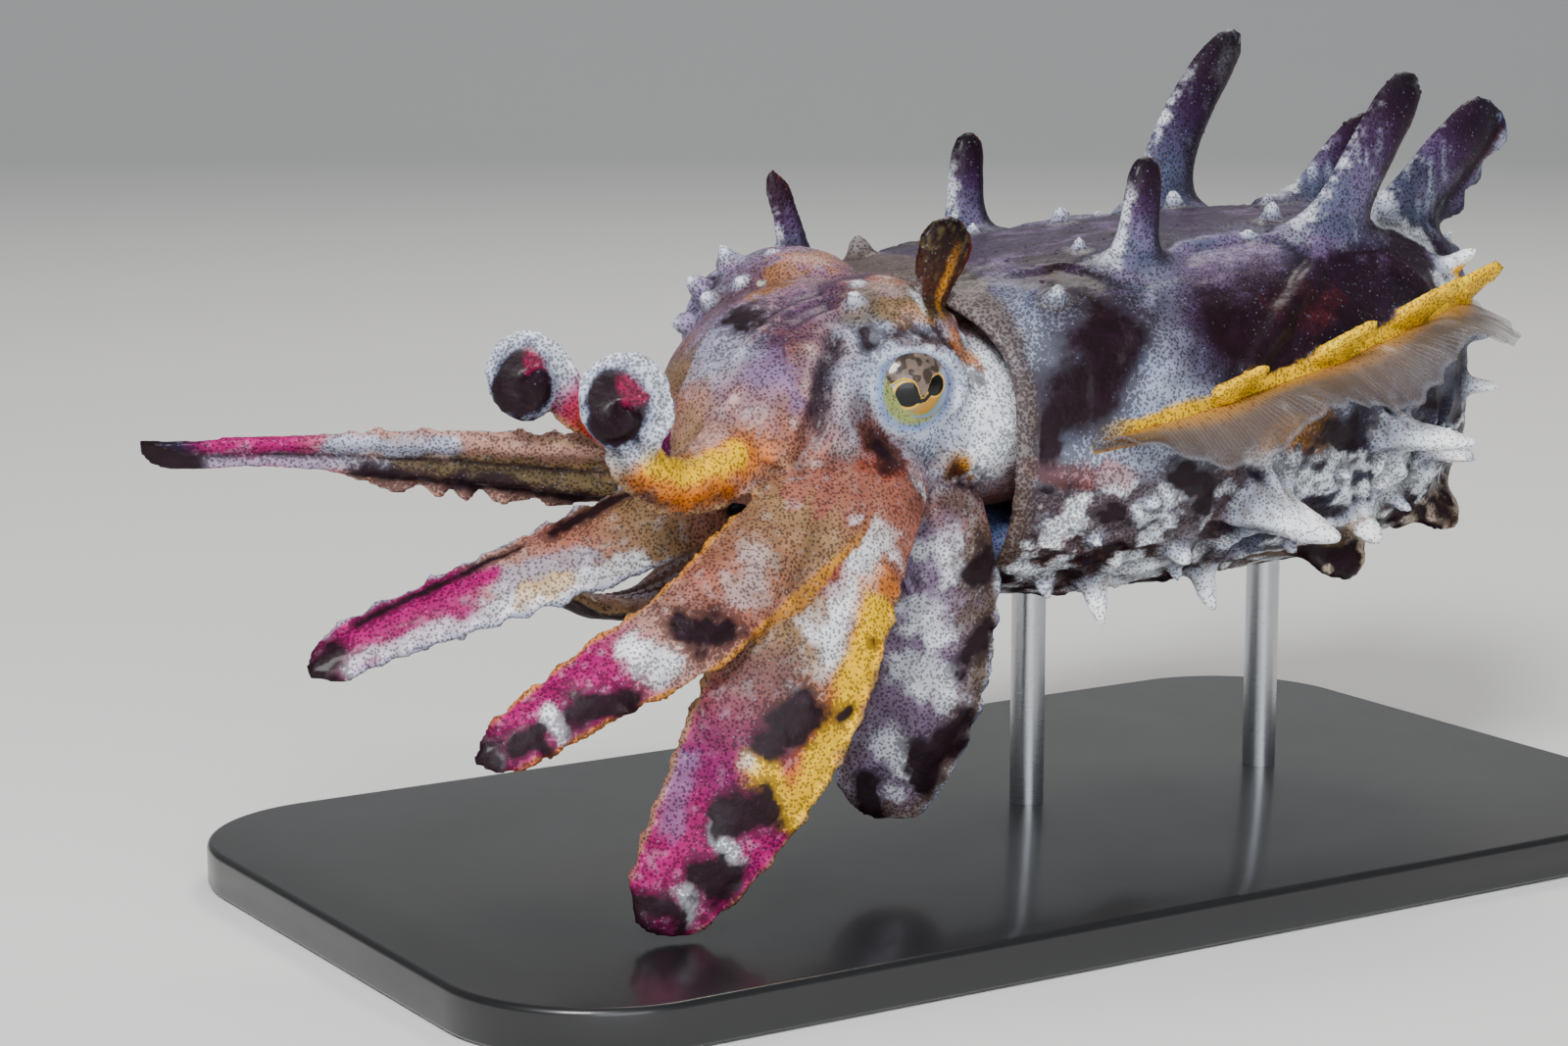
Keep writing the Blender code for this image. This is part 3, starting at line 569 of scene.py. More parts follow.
@dataclass
class Papilla:
    """A flattened outgrowth of the skin, from a foot under the surface to its tip."""

    growth: Growth
    root: Array
    foot_way: Array
    way: Array
    size: Triple
    outline: tuple = TALL_OUTLINE
    flat: Triple = (1.0, 0.0, 0.0)
    knee: float = 0.36
    sink: float = 2.4

    def profile(self, samples: int = 22) -> tuple[Array, Array, Array]:
        """The centre line from root to tip, with the share of the length and the half width at each point.

        Args:
            samples: How many points.

        Returns:
            The points, the shares and the half widths.
        """
        share = np.linspace(0, 1, samples)
        length = self.size[0]
        knee = self.root + unit(self.foot_way) * self.knee * length
        tip = self.root + unit(self.way) * length
        t = share[:, None]
        line = (1 - t) ** 2 * self.root + 2 * t * (1 - t) * knee + t**2 * tip
        return line, share, 0.5 * self.size[1] * table_value(self.outline, share, 1)

    def reach(self, places: Array) -> tuple[Array, Array]:
        """How far each place is from the centre line, in half widths, and the line's nearest point.

        Args:
            places: The places.

        Returns:
            A distance and a point's number a place.
        """
        line, _, radii = self.profile()
        gap = np.linalg.norm(places[:, None] - line, axis=2)
        i = gap.argmin(1) if len(places) else np.zeros(0, int)
        return gap[np.arange(len(places)), i] / (radii[i] + 0.25), i

    def cover(self, places: Array) -> tuple[Array, Array, Array, Array]:
        """Which places belong to the papilla.

        Args:
            places: Every vertex of the skin.

        Returns:
            The indices of the places near it and, for each of them, its share of the length, 1 inside
            and 0 outside, and how far to the front it lies as a share of the half width.
        """
        line, share, radii = self.profile()
        margin = 1.4 * (radii.max() + 0.25)
        low, high = line.min(0) - margin, line.max(0) + margin
        near = np.flatnonzero(np.all((places > low) & (places < high), axis=1))
        gap, i = self.reach(places[near])
        front = -((places[near] - line[i]) @ unit(self.flat)) / np.maximum(radii[i], 0.3)
        return near, share[i], ramp(1.35, 0.95, gap), front

    def shell(self) -> Surface:
        """Closes the papilla into a shell that starts under the skin.

        Returns:
            The shell.
        """
        line, _, radii = self.profile()
        down = self.sink * unit(self.foot_way)
        line = np.vstack([self.root - down, self.root - 0.4 * down, line])
        radii = np.r_[1.25 * radii[0], 1.1 * radii[0], radii]
        return Surface.tube(line, radii, self.flat, self.size[2] / self.size[1])


@dataclass(frozen=True)
class MantleSize:
    """The mantle's measured sizes; a section is a share of the length, half width, height and depth."""

    front_x: float = -6.0
    length: float = 62.0
    axis_z: float = 41.5
    rise: float = 2.6
    power: float = 2.7
    dorsal_lobe: float = 6.0
    ventral_notch: float = 3.0
    rim: float = 1.1
    recess: float = 7.0
    fin_angle: float = 98.0
    fin_climb: float = 36.0
    sections: tuple = read_rows("""
        0 18.4 13.4 15.2, 0.12 20 14.4 16.2, 0.3 21.2 15 16.8, 0.5 20.8 15.2 17, 0.7 18.4 14.9 17,
        0.84 14.8 13.4 15.8, 0.94 9.8 10.4 12.4, 0.99 4.6 6 7.6, 1 1.6 3 4
    """)
    # Pairs of large papillae: x, distance from the middle, left and right length, width, thickness, lean back
    blades: tuple = (
        (10.0, 12.6, (9.6, 10.2), 4.8, 2.8, 0.06),
        (33.0, 12.2, (17.0, 20.5), 6.6, 3.0, 0.55),
        (47.0, 6.0, (15.5, 12.5), 7.2, 2.6, 0.90),
    )
    # Pairs of small ones: share of the length, angle from the middle of the back, length, width
    cones: tuple = read_rows("""
        0.05 20 2.2 3.2, 0.1 44 2 2.6, 0.34 14 1.8 2.6, 0.58 20 2 2.6, 0.8 24 2.6 3, 0.08 140 2 2.2,
        0.17 142 4.4 2.8, 0.37 143 4.4 2.8, 0.27 128 2.4 3, 0.4 117 8 6, 0.66 103 8 4.6, 0.86 50 3.8 3,
        0.9 98 3.4 2.6, 0.62 128 4 3.8, 0.78 112 4 3.4, 0.93 30 2.6 1.7, 0.95 50 2.8 1.7, 0.97 24 2.4 1.5,
        0.2 112 1.2 1.9, 0.12 122 1.3 1.8, 0.3 138 1.7 1.8, 0.5 134 1.8 2, 0.55 112 1.5 1.8, 0.71 126 2.4 2,
        0.84 116 3 2.4, 0.89 122 2.6 2.2, 0.7 146 1.8 2, 0.22 22 1.3 1.8, 0.48 30 1.2 1.7, 0.72 12 1.4 1.9,
        0.94 78 2.6 2.2
    """)
    flaps: tuple = read_rows("0.32 3.6 4.4, 0.52 4.2 5.4, 0.71 4.8 5.8, 0.88 4.6 5.2")
    flap_lift: float = 5.5
    feet: tuple = read_rows("0.62 140 4.2 9, 0.84 136 4.2 8")


class Mantle:
    """The body bag behind the head, with its papillae, its sweeping ridges and its rim."""

    VOXEL, PASSES = 0.395, 5
    # The long folds: their widest radius, and the share and angle of each point of their route
    RIDGES = (
        (1.5, read_rows("0.6 40, 0.5 52, 0.4 66, 0.31 84")), (1.3, read_rows("0.64 38, 0.72 50, 0.79 62")),
        (1.2, read_rows("0.6 36, 0.48 30, 0.36 30, 0.27 38")), (1.2, read_rows("0.84 24, 0.76 26, 0.69 34")),
        (1.0, read_rows("0.27 42, 0.2 56, 0.14 72")), (1.0, read_rows("0.26 40, 0.15 30, 0.05 30")),
        (1.2, read_rows("0.86 26, 0.92 44, 0.96 62")),
    )
    # How a yellow flap leans from the way out of the skin at its foot
    FLAP_LEAN = np.array([-0.1, 0, 0.5])

    def __init__(self, size: MantleSize = MantleSize()) -> None:
        """Keeps the sizes and works out where the papillae stand."""
        self.size = size
        self.growths = self._growths()

    def point(self, share: Array | float, angle: Array | float, inset: float = 0.0,
              back: float = 0.0) -> Array:
        """A point of the skin.

        Args:
            share: Share of the mantle's length, from its front.
            angle: Degrees from the middle of the back, plus to the animal's left.
            inset: How far inside the skin.
            back: How far to move it towards the tail.

        Returns:
            The point, or one point a row.
        """
        s, c = np.sin(np.radians(angle)), np.cos(np.radians(angle))
        half_width = table_value(self.size.sections, share, 1) - inset
        high = table_value(self.size.sections, share, 2)
        deep = table_value(self.size.sections, share, 3)
        half_height = np.where(c > 0, high, deep) - inset
        power = self.size.power
        radius = (np.abs(s) ** power + np.abs(c) ** power) ** (-1 / power)
        fade = np.maximum(0.0, 1 - np.asarray(share) / 0.35) ** 2
        lobe = self.size.dorsal_lobe * np.maximum(0, c) ** 4 - self.size.ventral_notch * np.maximum(0, -c) ** 4
        x = self.size.front_x + share * self.size.length - lobe * fade + back
        z = self.size.axis_z + self.size.rise * share + half_height * c * radius
        return np.stack(np.broadcast_arrays(x, -half_width * s * radius, z), axis=-1)

    def normal(self, share: float, angle: float) -> Array:
        """The way out of the skin at one place.

        Args:
            share: Share of the mantle's length.
            angle: Degrees from the middle of the back.

        Returns:
            A way of length one.
        """
        along = self.point(min(share + 0.01, 1), angle) - self.point(max(share - 0.01, 0), angle)
        around = self.point(share, angle + 2) - self.point(share, angle - 2)
        n = unit(np.cross(around, along))
        middle = (self.size.front_x + share * self.size.length, 0, self.size.axis_z)
        return n if n @ (self.point(share, angle) - middle) > 0 else -n

    def fin_line(self, share: Array | float) -> Array | float:
        """The angle at which the fin's root runs: it climbs towards the tail."""
        return self.size.fin_angle - self.size.fin_climb * share

    def _growths(self) -> list[Papilla]:
        """Every papilla and flap of the mantle, in left and right pairs.

        Returns:
            The papillae, those of the left side first.
        """
        size, made = self.size, []
        for side in (1, -1):
            for x, out, lengths, width, thickness, lean in size.blades:
                share = (x - size.front_x) / size.length
                across = out / table_value(size.sections, share, 1)
                height = (1 - across**size.power) ** (1 / size.power)
                angle = side * math.degrees(math.atan2(across, height))
                length = lengths[0 if side > 0 else 1]
                way = np.array([lean, -side * 0.10, 1.0])
                made.append(Papilla(Growth.BLADE, self.point(share, angle), self.normal(share, angle), way,
                                    (length, width, thickness), BLADE_OUTLINE, sink=3.2))
            for share, angle, length, width in size.cones:
                root, out = self.point(share, side * angle), self.normal(share, side * angle)
                way = out + np.array([0.45 * (length > 5), 0, 0])
                growth = Growth.FINGER if length > 3.3 else Growth.CONE
                made.append(Papilla(growth, root, out, way, (length, width, 0.7 * width), SHORT_OUTLINE))
            for share, length, width in size.flaps:
                angle = side * (self.fin_line(share) - size.flap_lift)
                root, out = self.point(share, angle), self.normal(share, angle)
                way = 0.45 * out + np.array([0.80, 0, 0.52])
                made.append(Papilla(Growth.FLAP, root, out + self.FLAP_LEAN, way, (length + 0.8, 0.95 * width, 1.3),
                                    FLAP_OUTLINE, (1.0, 0, 0.15), sink=1.4))
            for share, angle, length, width in size.feet:
                root, out = self.point(share, side * angle), self.normal(share, side * angle)
                made.append(Papilla(Growth.FOOT, root, out, out, (length, width, 2.4), SHORT_OUTLINE))
        return made

    def bag(self) -> Surface:
        """Makes the outside, the lip of the rim and the wall inside, back to the floor of the recess.

        Returns:
            The closed bag.
        """
        angles = np.linspace(0, 360, 96, endpoint=False)
        shares = np.r_[1.0, 0.995, 0.985, 0.97, np.linspace(0.95, 0.0, 56)]
        rings = [self.point(share, angles) for share in shares]
        rim = self.size.rim
        rings.append(self.point(0.0, angles, 0.5 * rim, -0.5 * rim))
        rings.append(self.point(0.0, angles, rim, 0.2 * rim))
        floor = self.point(0.0, angles, 1.9 * rim)
        floor[:, 0] = self.size.front_x + self.size.recess
        return Surface.loft(np.array(rings + [floor]))

    def ridges(self) -> list[Surface]:
        """Makes the long folds that run forwards and outwards from the large papillae.

        Returns:
            One fold for each path.
        """
        made = []
        for side in (1, -1):
            for width, route in self.RIDGES:
                share, angle = zip(*route)
                steps = np.linspace(0, 1, 30)
                stops = np.linspace(0, 1, len(route))
                share, angle = np.interp(steps, stops, share), np.interp(steps, stops, angle)
                line = self.point(share, side * angle, 0.45)
                radii = width * (0.25 + 0.75 * np.sin(math.pi * steps) ** 0.6)
                made.append(Surface.tube(line, radii, (0, 0, 1), 0.9, 10))
        return made

    def veils(self) -> list[Surface]:
        """The thin flaps that hang behind the last pair of large papillae, with a waving edge.

        Returns:
            One flap for each papilla of the pair.
        """
        made = []
        for papilla in self.growths:
            if papilla.growth is not Growth.BLADE or papilla.way[0] < 0.8:
                continue
            line, share, radii = papilla.profile(40)
            steps = np.linspace(0, 1, 8)
            wide = 3.4 * np.sin(math.pi * np.clip(0.04 + 0.94 * share, 0, 1)) ** 0.5 * (1 + 0.16 * np.sin(share * 24))
            back = unit(np.array([1.0, 0, -0.45]))
            side = np.array([0, 1.0, 0])
            sway = 0.5 * np.sin(share * 13)[:, None] * steps**2
            middle = line[:, None] + back * (0.5 * radii[:, None] + wide[:, None] * steps)[..., None]
            middle = middle + side * sway[..., None]
            half = side * (0.45 - 0.15 * steps)[:, None]
            made.append(Surface.sheet(middle, half))
        return made

    def build(self) -> Skin:
        """The mantle's skin, fused and shaped."""
        shells = [self.bag(), *self.ridges(), *self.veils(), *(p.shell() for p in self.growths)]
        return Skin.fused("mantle", shells, self.VOXEL, self.PASSES)


# The way from the animal to the place it is looked at from, and the ways across and up as seen from there
CAMERA_SIDE = (-0.52, -0.84, 0.17)
FACING = unit(CAMERA_SIDE)
ACROSS = unit(np.cross((0, 0, 1), FACING))
UPWARD = np.cross(FACING, ACROSS)
# The rounding of an arm's tip, and the ridges and the floor of the groove on its inner side
TIP_ROUNDING = read_rows("0.9 1, 0.955 0.94, 0.982 0.72, 1 0.3")
GROOVE_RIDGE, GROOVE_FLOOR = 0.66, 0.45


@dataclass(frozen=True)
class ArmSize:
    """One arm: the route of its centre line, the ways its outer face looks, full widths and thicknesses."""

    name: str
    route: tuple
    face: tuple[Triple, Triple]
    width: tuple
    thick: tuple
    curl: tuple | None = None

    def nodes(self) -> tuple[str, ...]:
        """The solids that the arm stands for."""
        lengths = ("base", "middle", "curl") if self.curl else ("base", "tip")
        return tuple(f"arm_{self.name}_{length}" for length in lengths)


ARMS = (
    ArmSize("left_1", read_rows("""
        -20 -8 44, -25 -9.6 43.6, -30 -11.8 42.4, -35 -14.2 40.8, -39.4 -15.6 40.4, -42.6 -16.2 42.4
    """),
            ((-0.30, -0.62, 0.72), CAMERA_SIDE), (10.0, 8.8, 6.0, 3.8, 3.4, 2.8, 1.1),
            (5.8, 4.8, 3.6, 2.4, 1.8, 1.2, 0.8), ((-44.4, -16.2, 47.6), 2.3, 1.1, -62, 350)),
    ArmSize("left_2", read_rows("""
        -18 -10 42, -23 -14.5 39.6, -28.4 -17.6 36.6, -33.9 -19.4 33.6, -41.1 -20.7 29.2, -48.2 -20.5 26.2,
        -53.8 -20 23.2, -59.4 -19.4 20.4
    """),
            ((-0.30, -0.80, 0.45), (-0.45, -0.80, 0.35)), (10.0, 8.8, 7.2, 6.4, 4.8, 3.0),
            (5.4, 4.4, 3.6, 2.8, 2.0, 1.2)),
    ArmSize("left_3", read_rows("""
        -15 -9 42, -20 -14.5 39.6, -24 -18.2 36.4, -27.4 -20.4 32.4, -31.2 -22.3 26.4, -34.8 -22.8 20.3,
        -38.6 -22.2 13.8, -42.6 -21.5 8.2, -45.4 -20.8 5.3
    """),
            ((-0.30, -0.88, 0.30), (-0.40, -0.85, 0.10)), (12.0, 12.0, 11.7, 12.0, 9.8, 5.2),
            (6.0, 5.0, 4.0, 3.2, 2.4, 1.4)),
    ArmSize("left_4", read_rows("""
        -12 -7 40.5, -13 -11 37, -13.2 -13.8 32.3, -13.4 -14.4 25.5, -14.4 -14.2 19, -16 -13.3 13.4,
        -17.6 -12 8.8
    """),
            ((-0.35, -0.92, 0.05), (-0.35, -0.92, 0.05)), (12.0, 12.0, 11.6, 11.0, 9.6, 6.4),
            (5.4, 4.6, 3.8, 3.2, 2.4, 1.4)),
    ArmSize("right_1", read_rows("""
        -19 -3 44.5, -23.6 -3 44, -28 -3 43, -32 -2.2 42.4, -36 -1 43, -39 0.4 45
    """),
            ((-0.20, -0.10, 0.95), CAMERA_SIDE), (9.0, 7.0, 4.4, 3.0, 3.0, 2.5, 1.0),
            (5.0, 4.2, 3.2, 2.2, 1.6, 1.1, 0.8), ((-43, 2.6, 47.2), 2.1, 1.0, 14, 412)),
    ArmSize("right_2", read_rows("""
        -20 -3 42, -25.5 -2 40.4, -31.5 0.2 39.2, -38.2 4.2 39.4, -45.6 9.2 39.9, -53 14.4 40.2,
        -60.2 19.4 40.3, -66.6 23.8 39.9, -69 25.4 40.8
    """),
            ((0.30, 0.85, 0.42), (0.45, 0.80, 0.35)), (8.0, 6.4, 4.8, 3.8, 2.8, 2.6),
            (5.0, 4.0, 3.2, 2.4, 1.8, 1.2)),
    ArmSize("right_3", read_rows("""
        -19 -5.5 41, -24 -5.2 38.8, -28.4 -4.5 36.9, -33 -3 35.2, -38.6 -1.2 33, -45 0.6 30.6, -51.5 2.4 28.3,
        -57.3 3.8 26.2, -62.8 4.7 23.6
    """),
            ((-0.30, -0.55, 0.78), (-0.45, -0.65, 0.60)), (8.6, 8.0, 7.4, 6.0, 4.6, 3.2),
            (5.2, 4.4, 3.6, 2.8, 2.0, 1.2)),
    ArmSize("right_4", read_rows("""
        -13.5 -3.5 40, -18.4 -4.6 36.4, -22.6 -4.4 33.4, -26 -2.6 30.8, -29.4 -0.2 28.4, -33 2.6 26.8,
        -36.2 6 26.8, -38 9.8 28.6, -37.6 12.8 31.4
    """),
            ((0.30, 0.60, -0.70), (-0.80, 0.30, -0.50)), (9.4, 9.4, 8.6, 7.0, 5.0, 2.4),
            (5.2, 4.6, 3.8, 3.0, 2.2, 1.2)),
)


class Arm:
    """One arm: a blade with a rounded outer face, thin margins and a groove on its inner side."""

    SAMPLES = 240
    CURL_HEIGHT, CURL_LIFT, CURL_BREADTH = 1.15, 2.3, 0.16
    # The disc that closes a curl: radius as a share of the curl's, and height towards the camera's side
    PADDLE = read_rows("0.03 0.95, 0.7 0.92, 1.2 0.8, 1.42 0.45, 1.42 -0.25, 0.7 -0.35, 0.03 -0.35")
    # How far the scalloped skirt stands out from an edge, where it isn't the usual 0.75
    SKIRTS = {("right_2", 1): 2.0, ("left_1", 1): 0.5, ("right_1", 1): 0.5, ("left_3", 1): 0.9}

    def __init__(self, size: ArmSize) -> None:
        """Works out the centre line and the ways along, out and across at even steps.

        Args:
            size: The arm's sizes.
        """
        self.size = size
        self.centre, self.length = smooth_curve(self._route(), self.SAMPLES)
        self.share = np.linspace(0, 1, self.SAMPLES)
        self.along = unit(np.gradient(self.centre, axis=0))
        turned = np.minimum(1.0, self.share / 0.4) if size.curl else self.share
        face = np.outer(1 - turned, size.face[0]) + np.outer(turned, size.face[1])
        self.face = unit(face - np.sum(face * self.along, axis=1)[:, None] * self.along)
        self.side = np.cross(self.along, self.face)
        rounding = np.interp(self.share, *zip(*TIP_ROUNDING))
        stops = np.linspace(0, 1, len(size.width))
        rows = [(s, w / 2, t / 2) for s, w, t in zip(stops, size.width, size.thick)]
        breadth = 1 + self.CURL_BREADTH * ramp(0.62, 0.74, self.share) * (size.curl is not None)
        self.half_width = rounding * table_value(rows, self.share, 1) * breadth
        self.half_thickness = rounding * table_value(rows, self.share, 2) * (1.6 - 0.6 * breadth) ** 1.5

    def _route(self) -> Array:
        """The points of the centre line, with those of the flat curl, if any, worked out.

        Returns:
            The points that the centre line goes through.
        """
        route = np.array(self.size.route, float)
        if self.size.curl is None:
            return route
        middle, start_radius, end_radius, start, end = self.size.curl
        share = np.linspace(0, 1, 12)[:, None]
        angle = np.radians(start + (end - start) * share)
        radius = start_radius + (end_radius - start_radius) * share**0.8
        turned = ACROSS * np.cos(angle) + self.CURL_HEIGHT * UPWARD * np.sin(angle)
        return np.vstack([route, np.array(middle) + radius * turned + self.CURL_LIFT * share**3 * FACING])

    def shell(self, sides: int = 32) -> Surface:
        """The arm as a closed shell.

        Args:
            sides: Points round a section.

        Returns:
            The closed shell, without its skirts.
        """
        t = round_steps(sides) + 0.01
        c, s = np.cos(t), np.sin(t)
        groove = -GROOVE_RIDGE * np.minimum(1.0, (c / 0.81) ** 2 + GROOVE_FLOOR) * ramp(0, 0.3, -s)
        depth = np.where(s > 0, s * (0.35 + 0.65 * s), groove)
        wide = self.side[:, None] * self.half_width[:, None, None] * c[:, None]
        deep = self.face[:, None] * self.half_thickness[:, None, None] * depth[:, None]
        return Surface.loft(self.centre[:, None] + wide + deep)

    def skirts(self) -> list[Surface]:
        """The thin scalloped skirts of skin along both edges of the blade.

        Returns:
            One thin sheet for each edge.
        """
        made, steps = [], np.linspace(0, 1, 6)
        first, last = self.at(0.26), self.at(0.985)
        share, centre, side, face, width = (
            values[first:last] for values in (self.share, self.centre, self.side, self.face, self.half_width))
        run = share * self.length
        fade = ramp(0.26, 0.42, share) * ramp(1, 0.94, share)
        for edge in (1, -1):
            shift = NOISE.value(centre + 31 * edge, 3)
            out = self.SKIRTS.get((self.size.name, edge), 0.75)
            if out > 1.5:
                fade = ramp(0.24, 0.36, share) * ramp(0.74, 0.6, share)
            scallop = 0.5 + 0.5 * np.abs(np.sin(run / 1.15 + 3.5 * shift))
            wave = 0.42 * np.sin(math.tau * run / 3.1 + 6 * shift) * fade
            reach = 0.7 * width[:, None] + (0.3 * width + out * fade * scallop)[:, None] * steps
            lift = wave[:, None] * steps**2 - 0.1
            middle = centre[:, None] + edge * side[:, None] * reach[..., None] + face[:, None] * lift[..., None]
            half = face[:, None] * (0.42 - 0.14 * steps)[None, :, None]
            made.append(Surface.sheet(middle, half))
        return made

    def paddle(self) -> list[Surface]:
        """Makes the thin disc of skin that closes a curl.

        Returns:
            The disc, or nothing where the arm is straight.
        """
        if self.size.curl is None:
            return []
        middle, radius = np.array(self.size.curl[0]), self.size.curl[1]
        axes = (radius * ACROSS, radius * self.CURL_HEIGHT * UPWARD, FACING)
        return [Surface.turned(self.PADDLE, 40, middle, axes)]

    def at(self, share: Array) -> Array:
        """The nearest sample to each share of the length."""
        return np.clip(np.round(np.asarray(share) * (self.SAMPLES - 1)).astype(int), 0, self.SAMPLES - 1)

    def ribbon(self) -> tuple[Array, Array]:
        """Points across the whole blade and the sample that each belongs to.

        Returns:
            The points and the samples.
        """
        across = np.linspace(-0.9, 0.9, 5)
        points = self.centre[:, None] + self.side[:, None] * (self.half_width[:, None] * across)[:, :, None]
        return points.reshape(-1, 3), np.repeat(np.arange(self.SAMPLES), len(across))


@dataclass(frozen=True)
class HeadSize:
    """The head's measured sizes."""

    eye_radius: float = 4.4
    dome_radius: float = 8.6
    dome_back: float = 1.2
    eye_stands_out: float = 1.0
    left_eye_front: Triple = (-14.0, -15.0, 46.0)
    width: float = 28.0
    yaw: float = math.radians(9)
    roll: float = math.radians(9)
    lid_radius: float = 4.0
    lid_tube: float = 1.0
    lid_stands_out: float = 2.2
    # Head sections along its bent axis: centre, half width, half height
    sections: tuple = read_rows("""
        1.6 0 43.4 15.4 9.5, -4 -0.2 43.6 16.2 9.6, -9 -0.8 43.8 15.8 9.5, -13 -1.4 44 14.6 9.5,
        -17 -2.6 44.4 13.4 10.2, -21.5 -4.6 43 11.8 10.3, -25.5 -7.2 40.2 10 9.6, -28.4 -9.2 37 7.8 7.6
    """)
    # Cones on each side of the head: back, out and up from the eye's middle, length and width
    cones: tuple = read_rows("""
        -3.6 0.6 6.6 1.5 1.7, 2 -5.4 7.4 1.4 1.6, -6.6 -1.6 3.4 1.3 1.6, -5.2 -3.4 5.6 1.1 1.5,
        -6.4 2.4 4.6 1 1.3, -1.4 -2.4 8 1.1 1.4, -4.6 -5.6 5.8 1 1.5, 6.4 2.2 3.4 1 1.4, -6.8 1.8 0.6 0.9 1.3,
        0.4 2.8 -7 0.9 1.3
    """)
    brow: Triple = (9.0, 3.6, 2.2)
    brow_foot: Triple = (3.6, 1.6, 5.0)
    lobe: Triple = (6.0, 4.6, 1.5)
    lobe_foot: Triple = (2.4, 0.6, -3.4)


